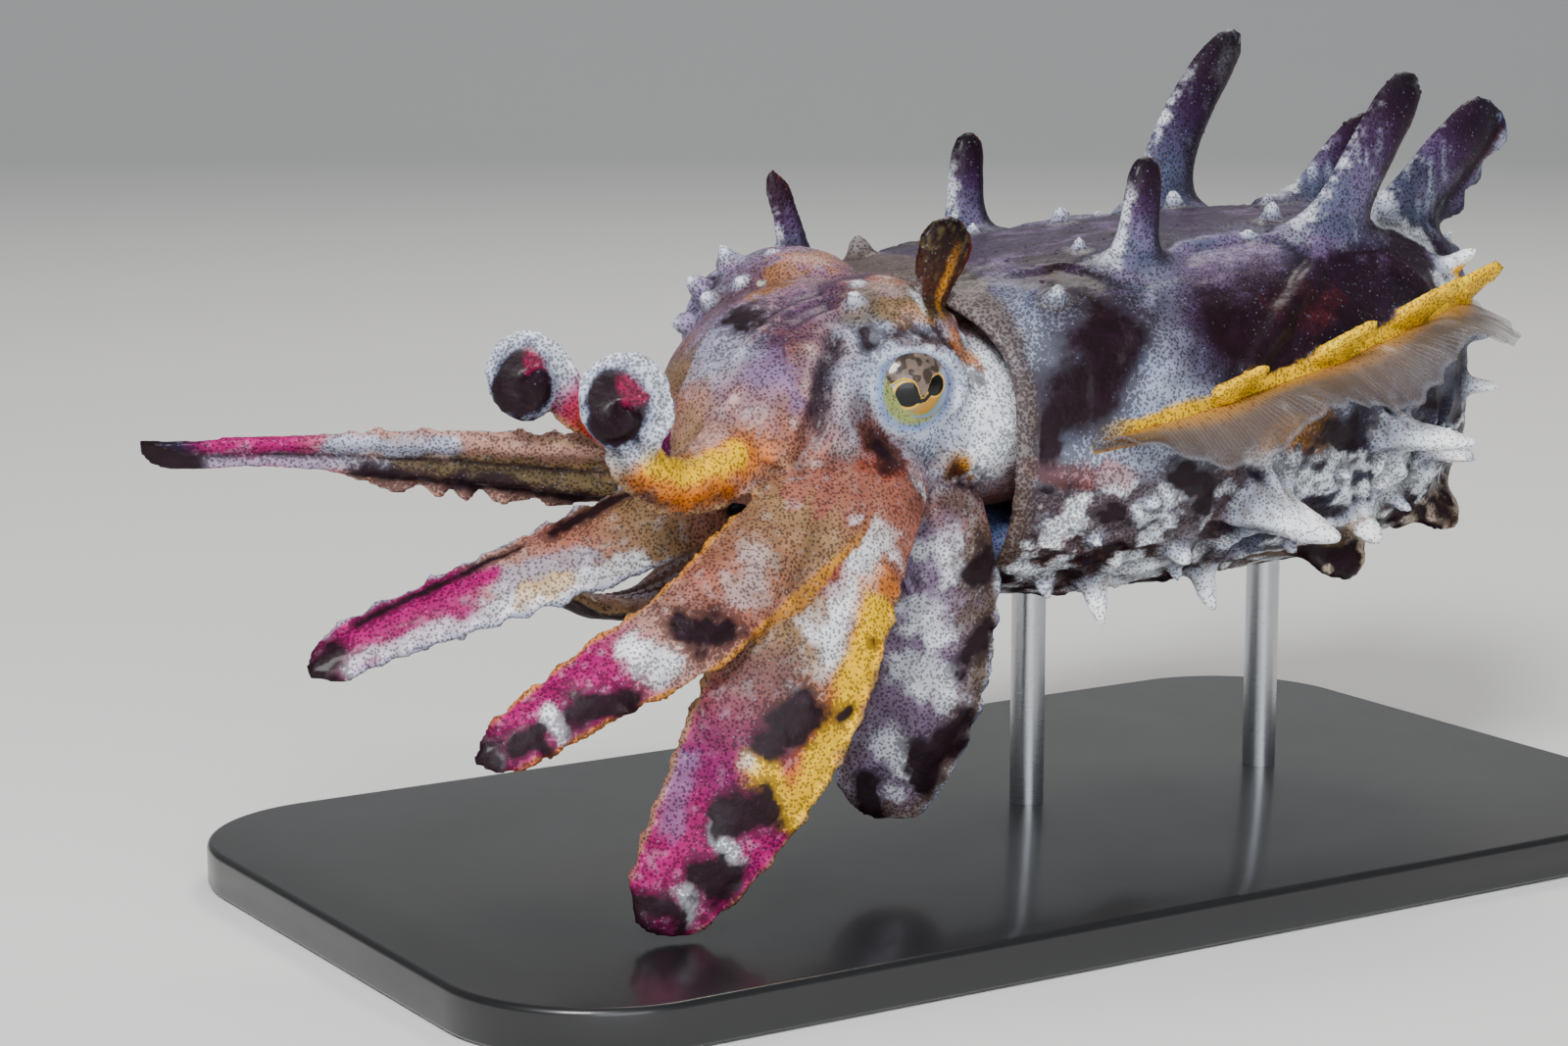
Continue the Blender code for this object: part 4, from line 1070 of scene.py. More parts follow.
class Head:
    """The head with its eye domes, lids, papillae and mouth, and all eight arms growing from it."""

    VOXEL, PASSES = 0.36, 4
    # The arms that a web joins, and the shares of their length where it starts and ends
    WEBS = (
        ("left_1", "left_2", 0.06, 0.34), ("left_2", "left_3", 0.08, 0.46), ("left_3", "left_4", 0.08, 0.52),
        ("right_1", "right_2", 0.06, 0.30), ("right_2", "right_3", 0.06, 0.34), ("right_3", "right_4", 0.06, 0.34),
        ("left_1", "right_1", 0.04, 0.30),
    )
    # The two round folds of the lip: how far out, radius and thickness
    LIPS = read_rows("0.4 3.1 0.9, 1 2.2 0.6")

    def __init__(self, arms: Sequence[Arm], size: HeadSize = HeadSize()) -> None:
        """Keeps the sizes and arms and works out where the papillae stand.

        Args:
            arms: All the arms.
            size: The head's sizes.
        """
        self.size = size
        self.arms = arms
        yaw, roll = size.yaw, size.roll
        right, up = np.array([-math.sin(yaw), math.cos(yaw), 0.0]), np.array([0.0, 0.0, 1.0])
        self.right = math.cos(roll) * right + math.sin(roll) * up
        self.up = math.cos(roll) * up - math.sin(roll) * right
        self.growths = self._growths()

    def eye_centre(self, side: int) -> Array:
        """The middle of an eyeball: side is 1 for the left eye and -1 for the right."""
        front = np.array(self.size.left_eye_front) + (self.size.width * self.right if side < 0 else 0)
        return front + self.right * side * (self.size.eye_radius - self.size.eye_stands_out)

    def gaze(self, side: int) -> tuple[Array, Array, Array]:
        """The way that an eye looks, a little to the front, and the ways up and back across it.

        Args:
            side: 1 for the left eye and -1 for the right.

        Returns:
            The ways out, up and back.
        """
        out = unit(np.array([-0.36, 0, 0.06]) - self.right * side)
        up = unit(self.up - (self.up @ out) * out)
        return out, up, side * np.cross(up, out)

    def _growths(self) -> list[Papilla]:
        """Places the papillae, cones and lobes of both sides.

        Returns:
            Those of the left side first.
        """
        size, made = self.size, []
        for side in (1, -1):
            centre = self.eye_centre(side)
            back, inward, high = size.brow_foot
            foot = centre + self.up * high + self.right * side * inward + np.array([back, 0, 0])
            length, width, thick = size.brow
            if side > 0:
                way = self.up + np.array([0.25, 0, 0.2])
                made.append(Papilla(Growth.BROW, foot, self.up, way, (length, 1.3 * width, 0.55 * thick), BROW_OUTLINE))
            else:
                way = self.up + np.array([-0.42, 0, 0.2])
                made.append(Papilla(Growth.BLADE, foot, self.up, way, (1.08 * length, 0.95 * width, 0.8 * thick),
                                    SLENDER_OUTLINE))
            for back, outward, high, length, width in size.cones:
                way = np.array([back, 0, 0]) - self.right * side * outward + self.up * high
                foot = centre + unit(way) * (size.dome_radius - 1.2) + self.right * side * 2.6
                made.append(Papilla(Growth.CONE, foot, way, way, (length, width, width), SHORT_OUTLINE))
            back, outward, high = size.lobe_foot
            foot = centre + np.array([back, 0, 0]) - self.right * side * outward + self.up * high
            way = np.array([0.55, 0, 0]) - self.right * side * 0.5 - self.up * 0.75
            made.append(Papilla(Growth.LOBE, foot, way, way, size.lobe, flat=(1, 0, 0.9), sink=1.0))
        end, way, one, two = self.mouth_frame()
        for jaw in (1, -1):
            made.append(Papilla(Growth.BEAK, end + 0.5 * jaw * two, way, way - 0.3 * jaw * two, (2.9, 2.0, 1.1),
                                BEAK_OUTLINE, tuple(one)))
        return made

    def mouth_frame(self) -> tuple[Array, Array, Array, Array]:
        """Finds the middle of the mouth, the way it looks and two ways across it.

        Returns:
            The middle and the three ways.
        """
        before, end = np.array(self.size.sections)[-2:, :3]
        way = unit(end - before)
        one = unit(np.cross(way, self.up))
        return end, way, one, np.cross(one, way)

    def lips(self) -> list[Surface]:
        """The two round folds of the lip."""
        end, way, one, two = self.mouth_frame()
        return [Surface.ring(end + way * rise, one, two, (radius, radius), tube) for rise, radius, tube in self.LIPS]

    def core(self) -> Surface:
        """The head along its bent axis, from inside the mantle's rim to the mouth."""
        return Surface.loft(oval_rings(self.size.sections, 60, 64, self.right)[0])

    def webs(self) -> list[Surface]:
        """The sheets of skin between neighbouring arms.

        Returns:
            One sheet for each pair of arms.
        """
        by_name = {arm.size.name: arm for arm in self.arms}
        made = []
        for one, two, start, end in self.WEBS:
            a, b = by_name[one], by_name[two]
            lines, outs = [], []
            for share in np.linspace(start, end, 16):
                p, q = a.centre[a.at(share)], b.centre[b.at(share)]
                out = unit(a.face[a.at(share)] + b.face[b.at(share)])
                across = np.linspace(0, 1, 12)[:, None]
                sag = (share - start) / (end - start) * 4 * across * (1 - across)
                back = -0.35 * sag * unit(a.along[a.at(share)] + b.along[b.at(share)]) * np.linalg.norm(q - p)
                lines.append(p + (q - p) * across + back - 0.3 * out)
                outs.append([0.55 * out])
            made.append(Surface.sheet(np.array(lines), np.array(outs)))
        return made

    def build(self) -> Skin:
        """The skin of the head and all the arms, fused and shaped.

        Returns:
            The skin, without its relief and colours.
        """
        size = self.size
        shells = [self.core(), *(arm.shell() for arm in self.arms), *self.webs(), *self.lips()]
        shells += [p.shell() for p in self.growths]
        for arm in self.arms:
            shells += arm.skirts() + arm.paddle()
        for side in (1, -1):
            centre = self.eye_centre(side)
            dome = centre + self.right * side * (size.dome_radius - size.eye_radius + size.eye_stands_out)
            dome = dome + np.array([size.dome_back, 0, -size.dome_back / 2])
            shells.append(Surface.ball(size.dome_radius, np.linspace(0.02, math.pi - 0.02, 28), 56, dome))
            out, up, back = self.gaze(side)
            for shift, tube in ((0.0, size.lid_tube), (0.5, 0.8 * size.lid_tube)):
                radii = (size.lid_radius + 0.45, size.lid_radius - 0.35 - 0.4 * shift)
                shells.append(Surface.ring(centre + out * size.lid_stands_out, back, up, radii, tube))
        return Skin.fused("head", shells, self.VOXEL, self.PASSES)


@dataclass(frozen=True)
class Mark:
    """A blotch or band of one tone along a path. Without a tone it is dark pigment, with a crisper edge."""

    tone: Tone | None
    path: Array
    radius: float
    ragged: float
    strength: float = 1.0


def read_marks(table: str) -> list[Mark]:
    """Reads a table of marks.

    Args:
        table: A mark a line: its tone or DARK, its radius, how ragged it is, its strength where that
            isn't 1, and behind a bar the points of its path.

    Returns:
        The marks in order.
    """
    made = []
    for line in table.strip().splitlines():
        start, path = line.split("|")
        tone, *numbers = start.split()
        made.append(Mark(None if tone == "DARK" else Tone[tone], np.array(read_rows(path)), *map(float, numbers)))
    return made


def distance(places: Array, path: Sequence[Sequence[float]]) -> Array:
    """How far each place is from a path of straight steps.

    Args:
        places: Where each vertex is.
        path: The path's points in the same space.

    Returns:
        A distance a vertex.
    """
    path = np.asarray(path, float)
    best = np.linalg.norm(places - path[0], axis=1)
    for a, b in zip(path, path[1:]):
        step = b - a
        t = np.clip((places - a) @ step / max(step @ step, 1e-9), 0, 1)
        best = np.minimum(best, np.linalg.norm(places - a - t[:, None] * step, axis=1))
    return best


class Painter:
    """Colours one skin layer on layer: its tone, its dark pigment, its dots and where grains grow."""

    EXPOSURE, CONTRAST = 0.92, 1.15
    # Painted shade and light: how much a millimetre of height lightens a crest or darkens a hollow, and the most of
    # either
    WEAR, WEAR_LIMITS = 3.2, (-0.45, 0.35)

    def __init__(self, skin: Skin, ground: Tone) -> None:
        """Starts with one tone all over.

        Args:
            skin: The skin to paint.
            ground: The first tone.
        """
        self.skin = skin
        self.tone = np.tile(linear(ground), (len(skin.co), 1))
        self.dark = np.zeros(len(skin.co))
        self.dots = np.full(len(skin.co), 0.6)
        self.grain = np.ones(len(skin.co))
        self.rough = NOISE.layered(skin.co, 2.4, 3) - 0.5
        self.fine = NOISE.layered(skin.co + 40, 0.9, 2) - 0.5
        self.drift = np.column_stack([NOISE.layered(skin.co + shift, 2.8, 2) - 0.5 for shift in (120, 160, 200)])

    def wash(self, tone: Tone | Array, weight: Array | float) -> None:
        """Lays a tone over the skin, by its weight at each vertex.

        Args:
            tone: A tone, or a colour a vertex.
            weight: 1 where the tone covers, 0 where it is left out.
        """
        colour = linear(tone) if isinstance(tone, Tone) else tone
        weight = np.clip(np.broadcast_to(weight, (len(self.tone),)), 0, 1)[:, None]
        self.tone = self.tone * (1 - weight) + colour * weight

    def gradient(self, tones: str, share: Array, weight: Array) -> None:
        """Lays tones that change along a share of the length, each written behind the share it stands at.

        Args:
            tones: The shares and tones, with a comma between stops.
            share: The share of the length at each vertex.
            weight: How much of it each vertex takes.
        """
        stops = [entry.split() for entry in tones.split(",")]
        colours = np.array([linear(Tone[tone]) for _, tone in stops])
        at = [float(stop) for stop, _ in stops]
        self.wash(np.column_stack([np.interp(share, at, column) for column in colours.T]), weight)

    def lay(self, table: str, places: Array) -> None:
        """Lays every mark of a table, whose paths are in the same space as the places."""
        for mark in read_marks(table):
            self.mark(mark, places, mark.path)

    def mark(self, mark: Mark, places: Array, path: Array, weight: Array | float = 1.0) -> None:
        """Lays one mark.

        Args:
            mark: The mark.
            places: Where each vertex is, in the mark's plane or in space.
            path: The mark's path in the same millimetres.
            weight: How much of it each vertex takes.
        """
        places = places + min(3.2, 1.5 * mark.radius) * self.drift[:, : places.shape[1]]
        gap = distance(places, path) / mark.radius
        gap += mark.ragged * (0.8 * self.rough + 0.9 * self.fine) * min(1.0, 1.8 / mark.radius)
        if mark.tone is None:
            pigment = 0.5 + 0.5 * (1 - gap) * max(0.8, min(mark.radius, 1.3))
            self.dark = np.maximum(self.dark, weight * mark.strength * np.clip(pigment, 0, 1))
        else:
            self.wash(mark.tone, weight * mark.strength * ramp(1.5, 0.5, gap))

    def growth(self, papilla: Papilla) -> None:
        """Colours the vertices of one papilla by its kind.

        Args:
            papilla: The papilla, which may be off this skin.
        """
        near, rise, inside, front = papilla.cover(self.skin.co)
        if not len(near):
            return
        weight, up, ahead, veil = np.zeros((4, len(self.tone)))
        weight[near] = inside * ramp(0, 0.14, rise)
        up[near], ahead[near] = rise, front
        wash, rough, fine, growth = self.wash, self.rough, self.fine, papilla.growth
        if growth is Growth.BLADE:
            self.gradient("0 SLATE, 0.3 SLATE, 0.6 PURPLE, 0.8 PLUM, 1 INK", up, weight * 0.92)
            wash(Tone.LILAC, weight * 0.4 * ramp(-0.1, 0.25, rough) * ramp(0.7, 0.3, up))
            streaks = ramp(0.6, 0.8, NOISE.layered(self.skin.co * (1, 1, 0.3), 0.8, 2)) * ramp(0.8, 0.4, up)
            wash(Tone.PEARL, weight * 0.7 * streaks)
            wash(Tone.PLUM, weight * 0.7 * ramp(-0.1, -0.6, ahead + 0.6 * rough))
            wash(Tone.WHITE, weight * 0.6 * ramp(0.72, 1, ahead + 0.7 * fine) * ramp(0.92, 0.6, up))
            wash(Tone.RUST, weight * 0.4 * ramp(-0.6, -1, ahead) * ramp(0.6, 0.9, up))
            if papilla.way[0] > 0.8 and papilla.root[0] > 0:
                veil[near] = ramp(-0.9, -1.2, front) * ramp(0.02, 0.1, rise)
                wash(Tone.INDIGO, veil * 0.9)
                wash(Tone.SKY, veil * ramp(-2, -2.5, ahead + 0.4 * fine))
        elif growth is Growth.BROW:
            self.gradient("0 OLIVE, 0.3 BROWN, 1 INK", up, weight)
            specks = ramp(0.6, 0.72, NOISE.value(self.skin.co, 0.5))
            wash(Tone.OLIVE, weight * 0.6 * specks)
            ridge = ramp(0.24, 0.08, np.abs(ahead + 0.25 + 0.3 * rough)) * ramp(0.9, 0.6, up)
            wash(Tone.OCHRE, weight * ridge * 0.8)
            wash(Tone.WHITE, weight * ramp(0.7, 1, ahead) * ramp(0.5, 0.1, up))
            wash(Tone.RUST, weight * 0.7 * ramp(-0.6, -1, ahead) * ramp(0.4, 0.9, up))
        elif growth is Growth.FLAP:
            stands_out = (self.skin.co - papilla.root) @ unit(papilla.foot_way - Mantle.FLAP_LEAN)
            weight = ramp(0.45, 0.95, weight) * ramp(0.35, 0.9, stands_out)
            wash(Tone.YELLOW, weight)
            wash(Tone.OLIVE, weight * 0.85 * ramp(-0.05, 0.2, fine) * ramp(0, -0.7, ahead))
            wash(Tone.BROWN, weight * 0.6 * ramp(0.1, 0.3, fine) * ramp(-0.4, -0.9, ahead))
        elif growth is Growth.FINGER:
            self.gradient("0 PEARL, 0.35 WHITE, 1 WHITE", up, weight)
            folds = ramp(0.5, 0.75, NOISE.layered(self.skin.co * (1.4, 1.4, 0.5), 1.0, 2))
            wash(Tone.SAND, weight * 0.55 * folds * ramp(0.9, 0.4, up))
            wash(Tone.SLATE, weight * 0.5 * ramp(0.1, 0.5, ahead + rough) * ramp(0.7, 0.2, up))
            self.dots[near] = np.minimum(self.dots[near], 1 - 0.6 * weight[near])
        elif growth is Growth.CONE:
            self.gradient("0 SMOKE, 0.5 PEARL, 1 WHITE", up, weight * 0.75)
        elif growth is Growth.FOOT:
            wash(Tone.SAND, weight * 0.8)
            self.dark[near] = np.maximum(self.dark[near], 0.9 * weight[near] * ramp(0.1, 0.3, rough[near]))
        elif growth is Growth.BEAK:
            self.gradient("0 BROWN, 0.4 INK, 1 INK", up, weight)
            self.dots[near] *= 1 - weight[near]
        elif growth is Growth.LOBE:
            self.gradient("0 WHITE, 0.3 OCHRE, 1 OCHRE", up, weight)
            wash(Tone.BROWN, weight * ramp(0, 0.5, ahead + rough) * ramp(0.2, 0.5, up))
        if growth is not Growth.FOOT:
            self.dark[near] *= 1 - ramp(1.9, 1.1, papilla.reach(self.skin.co[near])[0]) * ramp(-0.1, 0.1, rise)

    def store(self) -> None:
        """Puts the colours on the mesh, mottled, with painted shade in the hollows and painted light on the crests."""
        mottle = 0.62 + 0.76 * NOISE.layered(self.skin.co + 80, 1.7, 3)
        # Painted shade and light: the colour is darkened in the hollows and lightened on the crests by their height
        shade_and_light = 1 + np.clip(self.WEAR * self.skin.hollows(), *self.WEAR_LIMITS)
        self.skin.colour("tone", self.EXPOSURE * self.tone**self.CONTRAST * (mottle * shade_and_light)[:, None])
        self.skin.store("dark", self.dark)
        self.skin.store("dots", self.dots)
        self.skin.store("grain", ramp(0.5, 0.75, NOISE.layered(self.skin.co + 300, 5.0, 2)) * self.grain)


class MantlePattern:
    """The markings of the mantle, in a plane of millimetres along the body and round it from mid-back."""

    ROUND_MM = 0.34
    MARKS = """
        SLATE 14 0.6 0.8 | 2 0, 20 0, 40 0, 56 0
        PURPLE 11 0.8 0.9 | 0 0, 20 0, 40 0, 56 0
        PURPLE 7.6 0.8 0.9 | 22 20, 30 20, 38 17, 48 12
        SLATE 2.6 1.4 0.75 | 24 12, 36 10, 50 6
        LILAC 2.4 1.8 0.7 | 21 14, 29 12
        PLUM 7.6 0.9 0.9 | 24 22, 32 20, 42 18, 51 14
        LILAC 1.6 1.8 0.6 | 36 12, 42 11
        PLUM 4.6 0.8 0.8 | 9 11, 9.2 17, 8 21, 5 26
        DARK 4.2 0.7 0.95 | 9.4 11.5, 9.2 17, 8 21, 5 25.5
        DARK 2.6 0.9 | 4 26.5, 1.5 31
        DARK 2.2 0.9 | 20 17, 21 24, 27 28
        DARK 5.4 0.9 0.96 | 24.5 25, 31 22, 38 21, 44 18
        DARK 3.2 1.1 0.93 | 42 17, 48 15, 52 13
        RUST 1.6 2.4 0.16 | 27 20, 34 20
        DARK 2 1.4 0.9 | 50 16, 54 18
        DARK 2.4 1.2 | 16 36, 19 40, 20 43
        DARK 3.2 1.1 | 26 36, 34 35, 42 34
        DARK 3 1.4 | 30 43, 36 47, 44 45
        DARK 2.2 1.8 0.95 | 44 36, 47 42, 50 48
        DARK 2 1.8 0.9 | 52 26, 55 34, 54 42
        DARK 2.2 1.4 0.9 | 48 34, 52 40
        INDIGO 8 1.2 0.85 | 26 38, 36 40, 46 39, 56 34
        SAND 4.6 1.4 0.75 | 32 50, 46 49
        BROWN 4 1.8 0.75 | 0 46, 12 46, 24 50
        SMOKE 9 0.8 0.6 | 10 60, 50 60
    """
    CRESTS = """
        WHITE 1.8 1.6 0.95 | 24 35, 27 38
        WHITE 1.1 2 0.95 | 33 36, 36 41
        WHITE 1.6 1.8 0.95 | 40 35, 43 42
        WHITE 1.6 1.8 0.9 | 46 40, 51 44
        WHITE 1.7 1.8 0.85 | 48 8, 53 13
        WHITE 1.9 1.8 0.9 | 52 20, 57 25
        OCHRE 1.6 1.8 0.8 | 25 33, 31 33
        RUST 1.1 2.6 0.5 | 1 34, 9 35
    """

    def __init__(self, mantle: Mantle) -> None:
        """Keeps the mantle that it is laid on."""
        self.mantle = mantle

    def plane(self, places: Array) -> Array:
        """Where each place is in the plane: along the body and round it, on either side alike.

        Args:
            places: Where each vertex is.

        Returns:
            Millimetres along and round, a row a vertex.
        """
        size = self.mantle.size
        share = np.clip((places[:, 0] - size.front_x) / size.length, 0, 1)
        axis = size.axis_z + size.rise * share
        half_width = table_value(size.sections, share, 1)
        above = places[:, 2] > axis
        half_height = np.where(above, table_value(size.sections, share, 2), table_value(size.sections, share, 3))
        angle = np.degrees(np.arctan2(np.abs(places[:, 1]) / half_width, (places[:, 2] - axis) / half_height))
        return np.column_stack([share * size.length, angle * self.ROUND_MM])

    def relief(self, skin: Skin) -> None:
        """Raises wrinkles, grains and the ridges that fan out from the white papillae.

        Args:
            skin: The mantle's skin.
        """
        plane = self.plane(skin.co)
        height = 0.17 * (1.6 * NOISE.creases(skin.co * (0.55, 1, 1), 2.6, 2) - 0.6)
        height += 0.12 * (NOISE.value(skin.co, 0.9) - 0.5)
        low = ramp(33, 40, plane[:, 1])
        height += 0.34 * low * (2 * NOISE.creases(skin.co * (0.6, 1, 1) + 9, 2.2, 2) - 1)
        calm = np.ones(len(skin.co))
        for papilla in self.mantle.growths:
            near, rise, inside, _ = papilla.cover(skin.co)
            calm[near] = np.minimum(calm[near], 1 - 0.8 * inside * ramp(0, 0.3, rise))
            if papilla.growth is not Growth.FINGER or papilla.size[0] < 3.9:
                continue
            offset = skin.co - papilla.root
            reach = np.linalg.norm(offset, axis=1)
            near = reach < 9
            out = unit(papilla.foot_way)
            one = unit(np.cross(out, (1, 0.1, 0)))
            two = np.cross(out, one)
            turn = np.arctan2(offset[near] @ one, offset[near] @ two)
            fan = 1 - 2 * np.abs(np.sin(3.5 * turn + 1.6 * NOISE.value(skin.co[near], 3)))
            height[near] += 0.38 * fan * ramp(1.2, 2.6, reach[near]) * ramp(8.5, 3.2, reach[near])
        height *= calm
        inside = skin.normals() @ np.array([1.0, 0, 0]) < -0.2
        height[inside & (plane[:, 0] < 9)] *= 0.3
        skin.raise_by(height)

    def paint(self, skin: Skin) -> None:
        """Colours the whole mantle.

        Args:
            skin: The mantle's skin.
        """
        painter = Painter(skin, Tone.PEARL)
        wash, rough = painter.wash, painter.rough
        plane = self.plane(skin.co)
        along, around = plane.T
        wash(Tone.SKY, 0.35 * ramp(0.05, 0.25, rough) * ramp(34, 28, around))
        painter.lay(self.MARKS, plane)
        # White lichen-like patches on brown and black low at the front, and finer ones behind
        net = NOISE.layered(skin.co * (0.75, 1, 1) + 31, 3.0, 4)
        front = ramp(33, 37, around) * ramp(60, 54, around)
        front *= ramp(26, 19, along) + 0.8 * ramp(30, 36, along) * ramp(40, 45, around)
        wash(Tone.BROWN, 0.75 * front * ramp(0.55, 0.46, net))
        wash(Tone.RUST, 0.7 * front * ramp(0.04, 0, np.abs(net - 0.52)) * ramp(0, 0.2, rough))
        wash(Tone.WHITE, 0.92 * front * ramp(0.49, 0.55, net))
        deeper = 0.30 + 0.12 * ramp(38, 48, around) + 0.06 * ramp(22, 30, along)
        painter.dark = np.maximum(painter.dark, 0.9 * front * ramp(deeper + 0.12, deeper, net))
        low = ramp(33, 38, around) * ramp(21, 26, along) * ramp(60, 52, around)
        crests = low * ramp(0.8, 0.93, NOISE.creases(skin.co * (0.6, 1, 1) + 9, 2.2, 2))
        wash(Tone.WHITE, 0.9 * crests)
        painter.dark *= 1 - 0.95 * crests
        painter.lay(self.CRESTS, plane)
        # Thin pale folds and purple shading over the back
        folds = ramp(0.8, 1, NOISE.creases(skin.co * (0.35, 1, 1) + 61, 2.6, 3))
        folds *= ramp(0.48, 0.66, NOISE.layered(skin.co + 77, 4.5, 2))
        wash(Tone.LILAC, 0.55 * folds * ramp(20, 14, around))
        fin = self.mantle.fin_line(along / self.mantle.size.length) * self.ROUND_MM
        band = ramp(1.7, 1.1, np.abs(around - fin + 1.0) + 1.2 * rough) * ramp(6, 11, along)
        wash(Tone.YELLOW, band)
        painter.dark *= 1 - band
        ivory = ramp(4.5, 1.5, np.abs(around - fin - 3.2)) * ramp(18, 22, along) * ramp(32, 28, along)
        wash(Tone.SAND, 0.7 * ivory * ramp(-0.2, 0.15, rough))
        painter.dark *= 1 - 0.6 * ivory
        for papilla in self.mantle.growths:
            painter.growth(papilla)
        rim = ramp(1.6, 0.5, along + 0.9 * rough)
        wash(Tone.SMOKE, 0.8 * rim)
        painter.dark *= 1 - 0.8 * rim
        painter.dots += 0.35 * ramp(14, 4, along) * ramp(10, 16, around)
        painter.store()


@dataclass(frozen=True)
class ArmPattern:
    """The tones along one arm's outer side, those of its inner side and its marks, by share and across."""

    tones: str
    marks: str = ""
    inner: str = "0 SMOKE, 0.5 ROSE, 1 SAND"
    inner_weight: float = 0.85
    edge: Tone = Tone.SAND


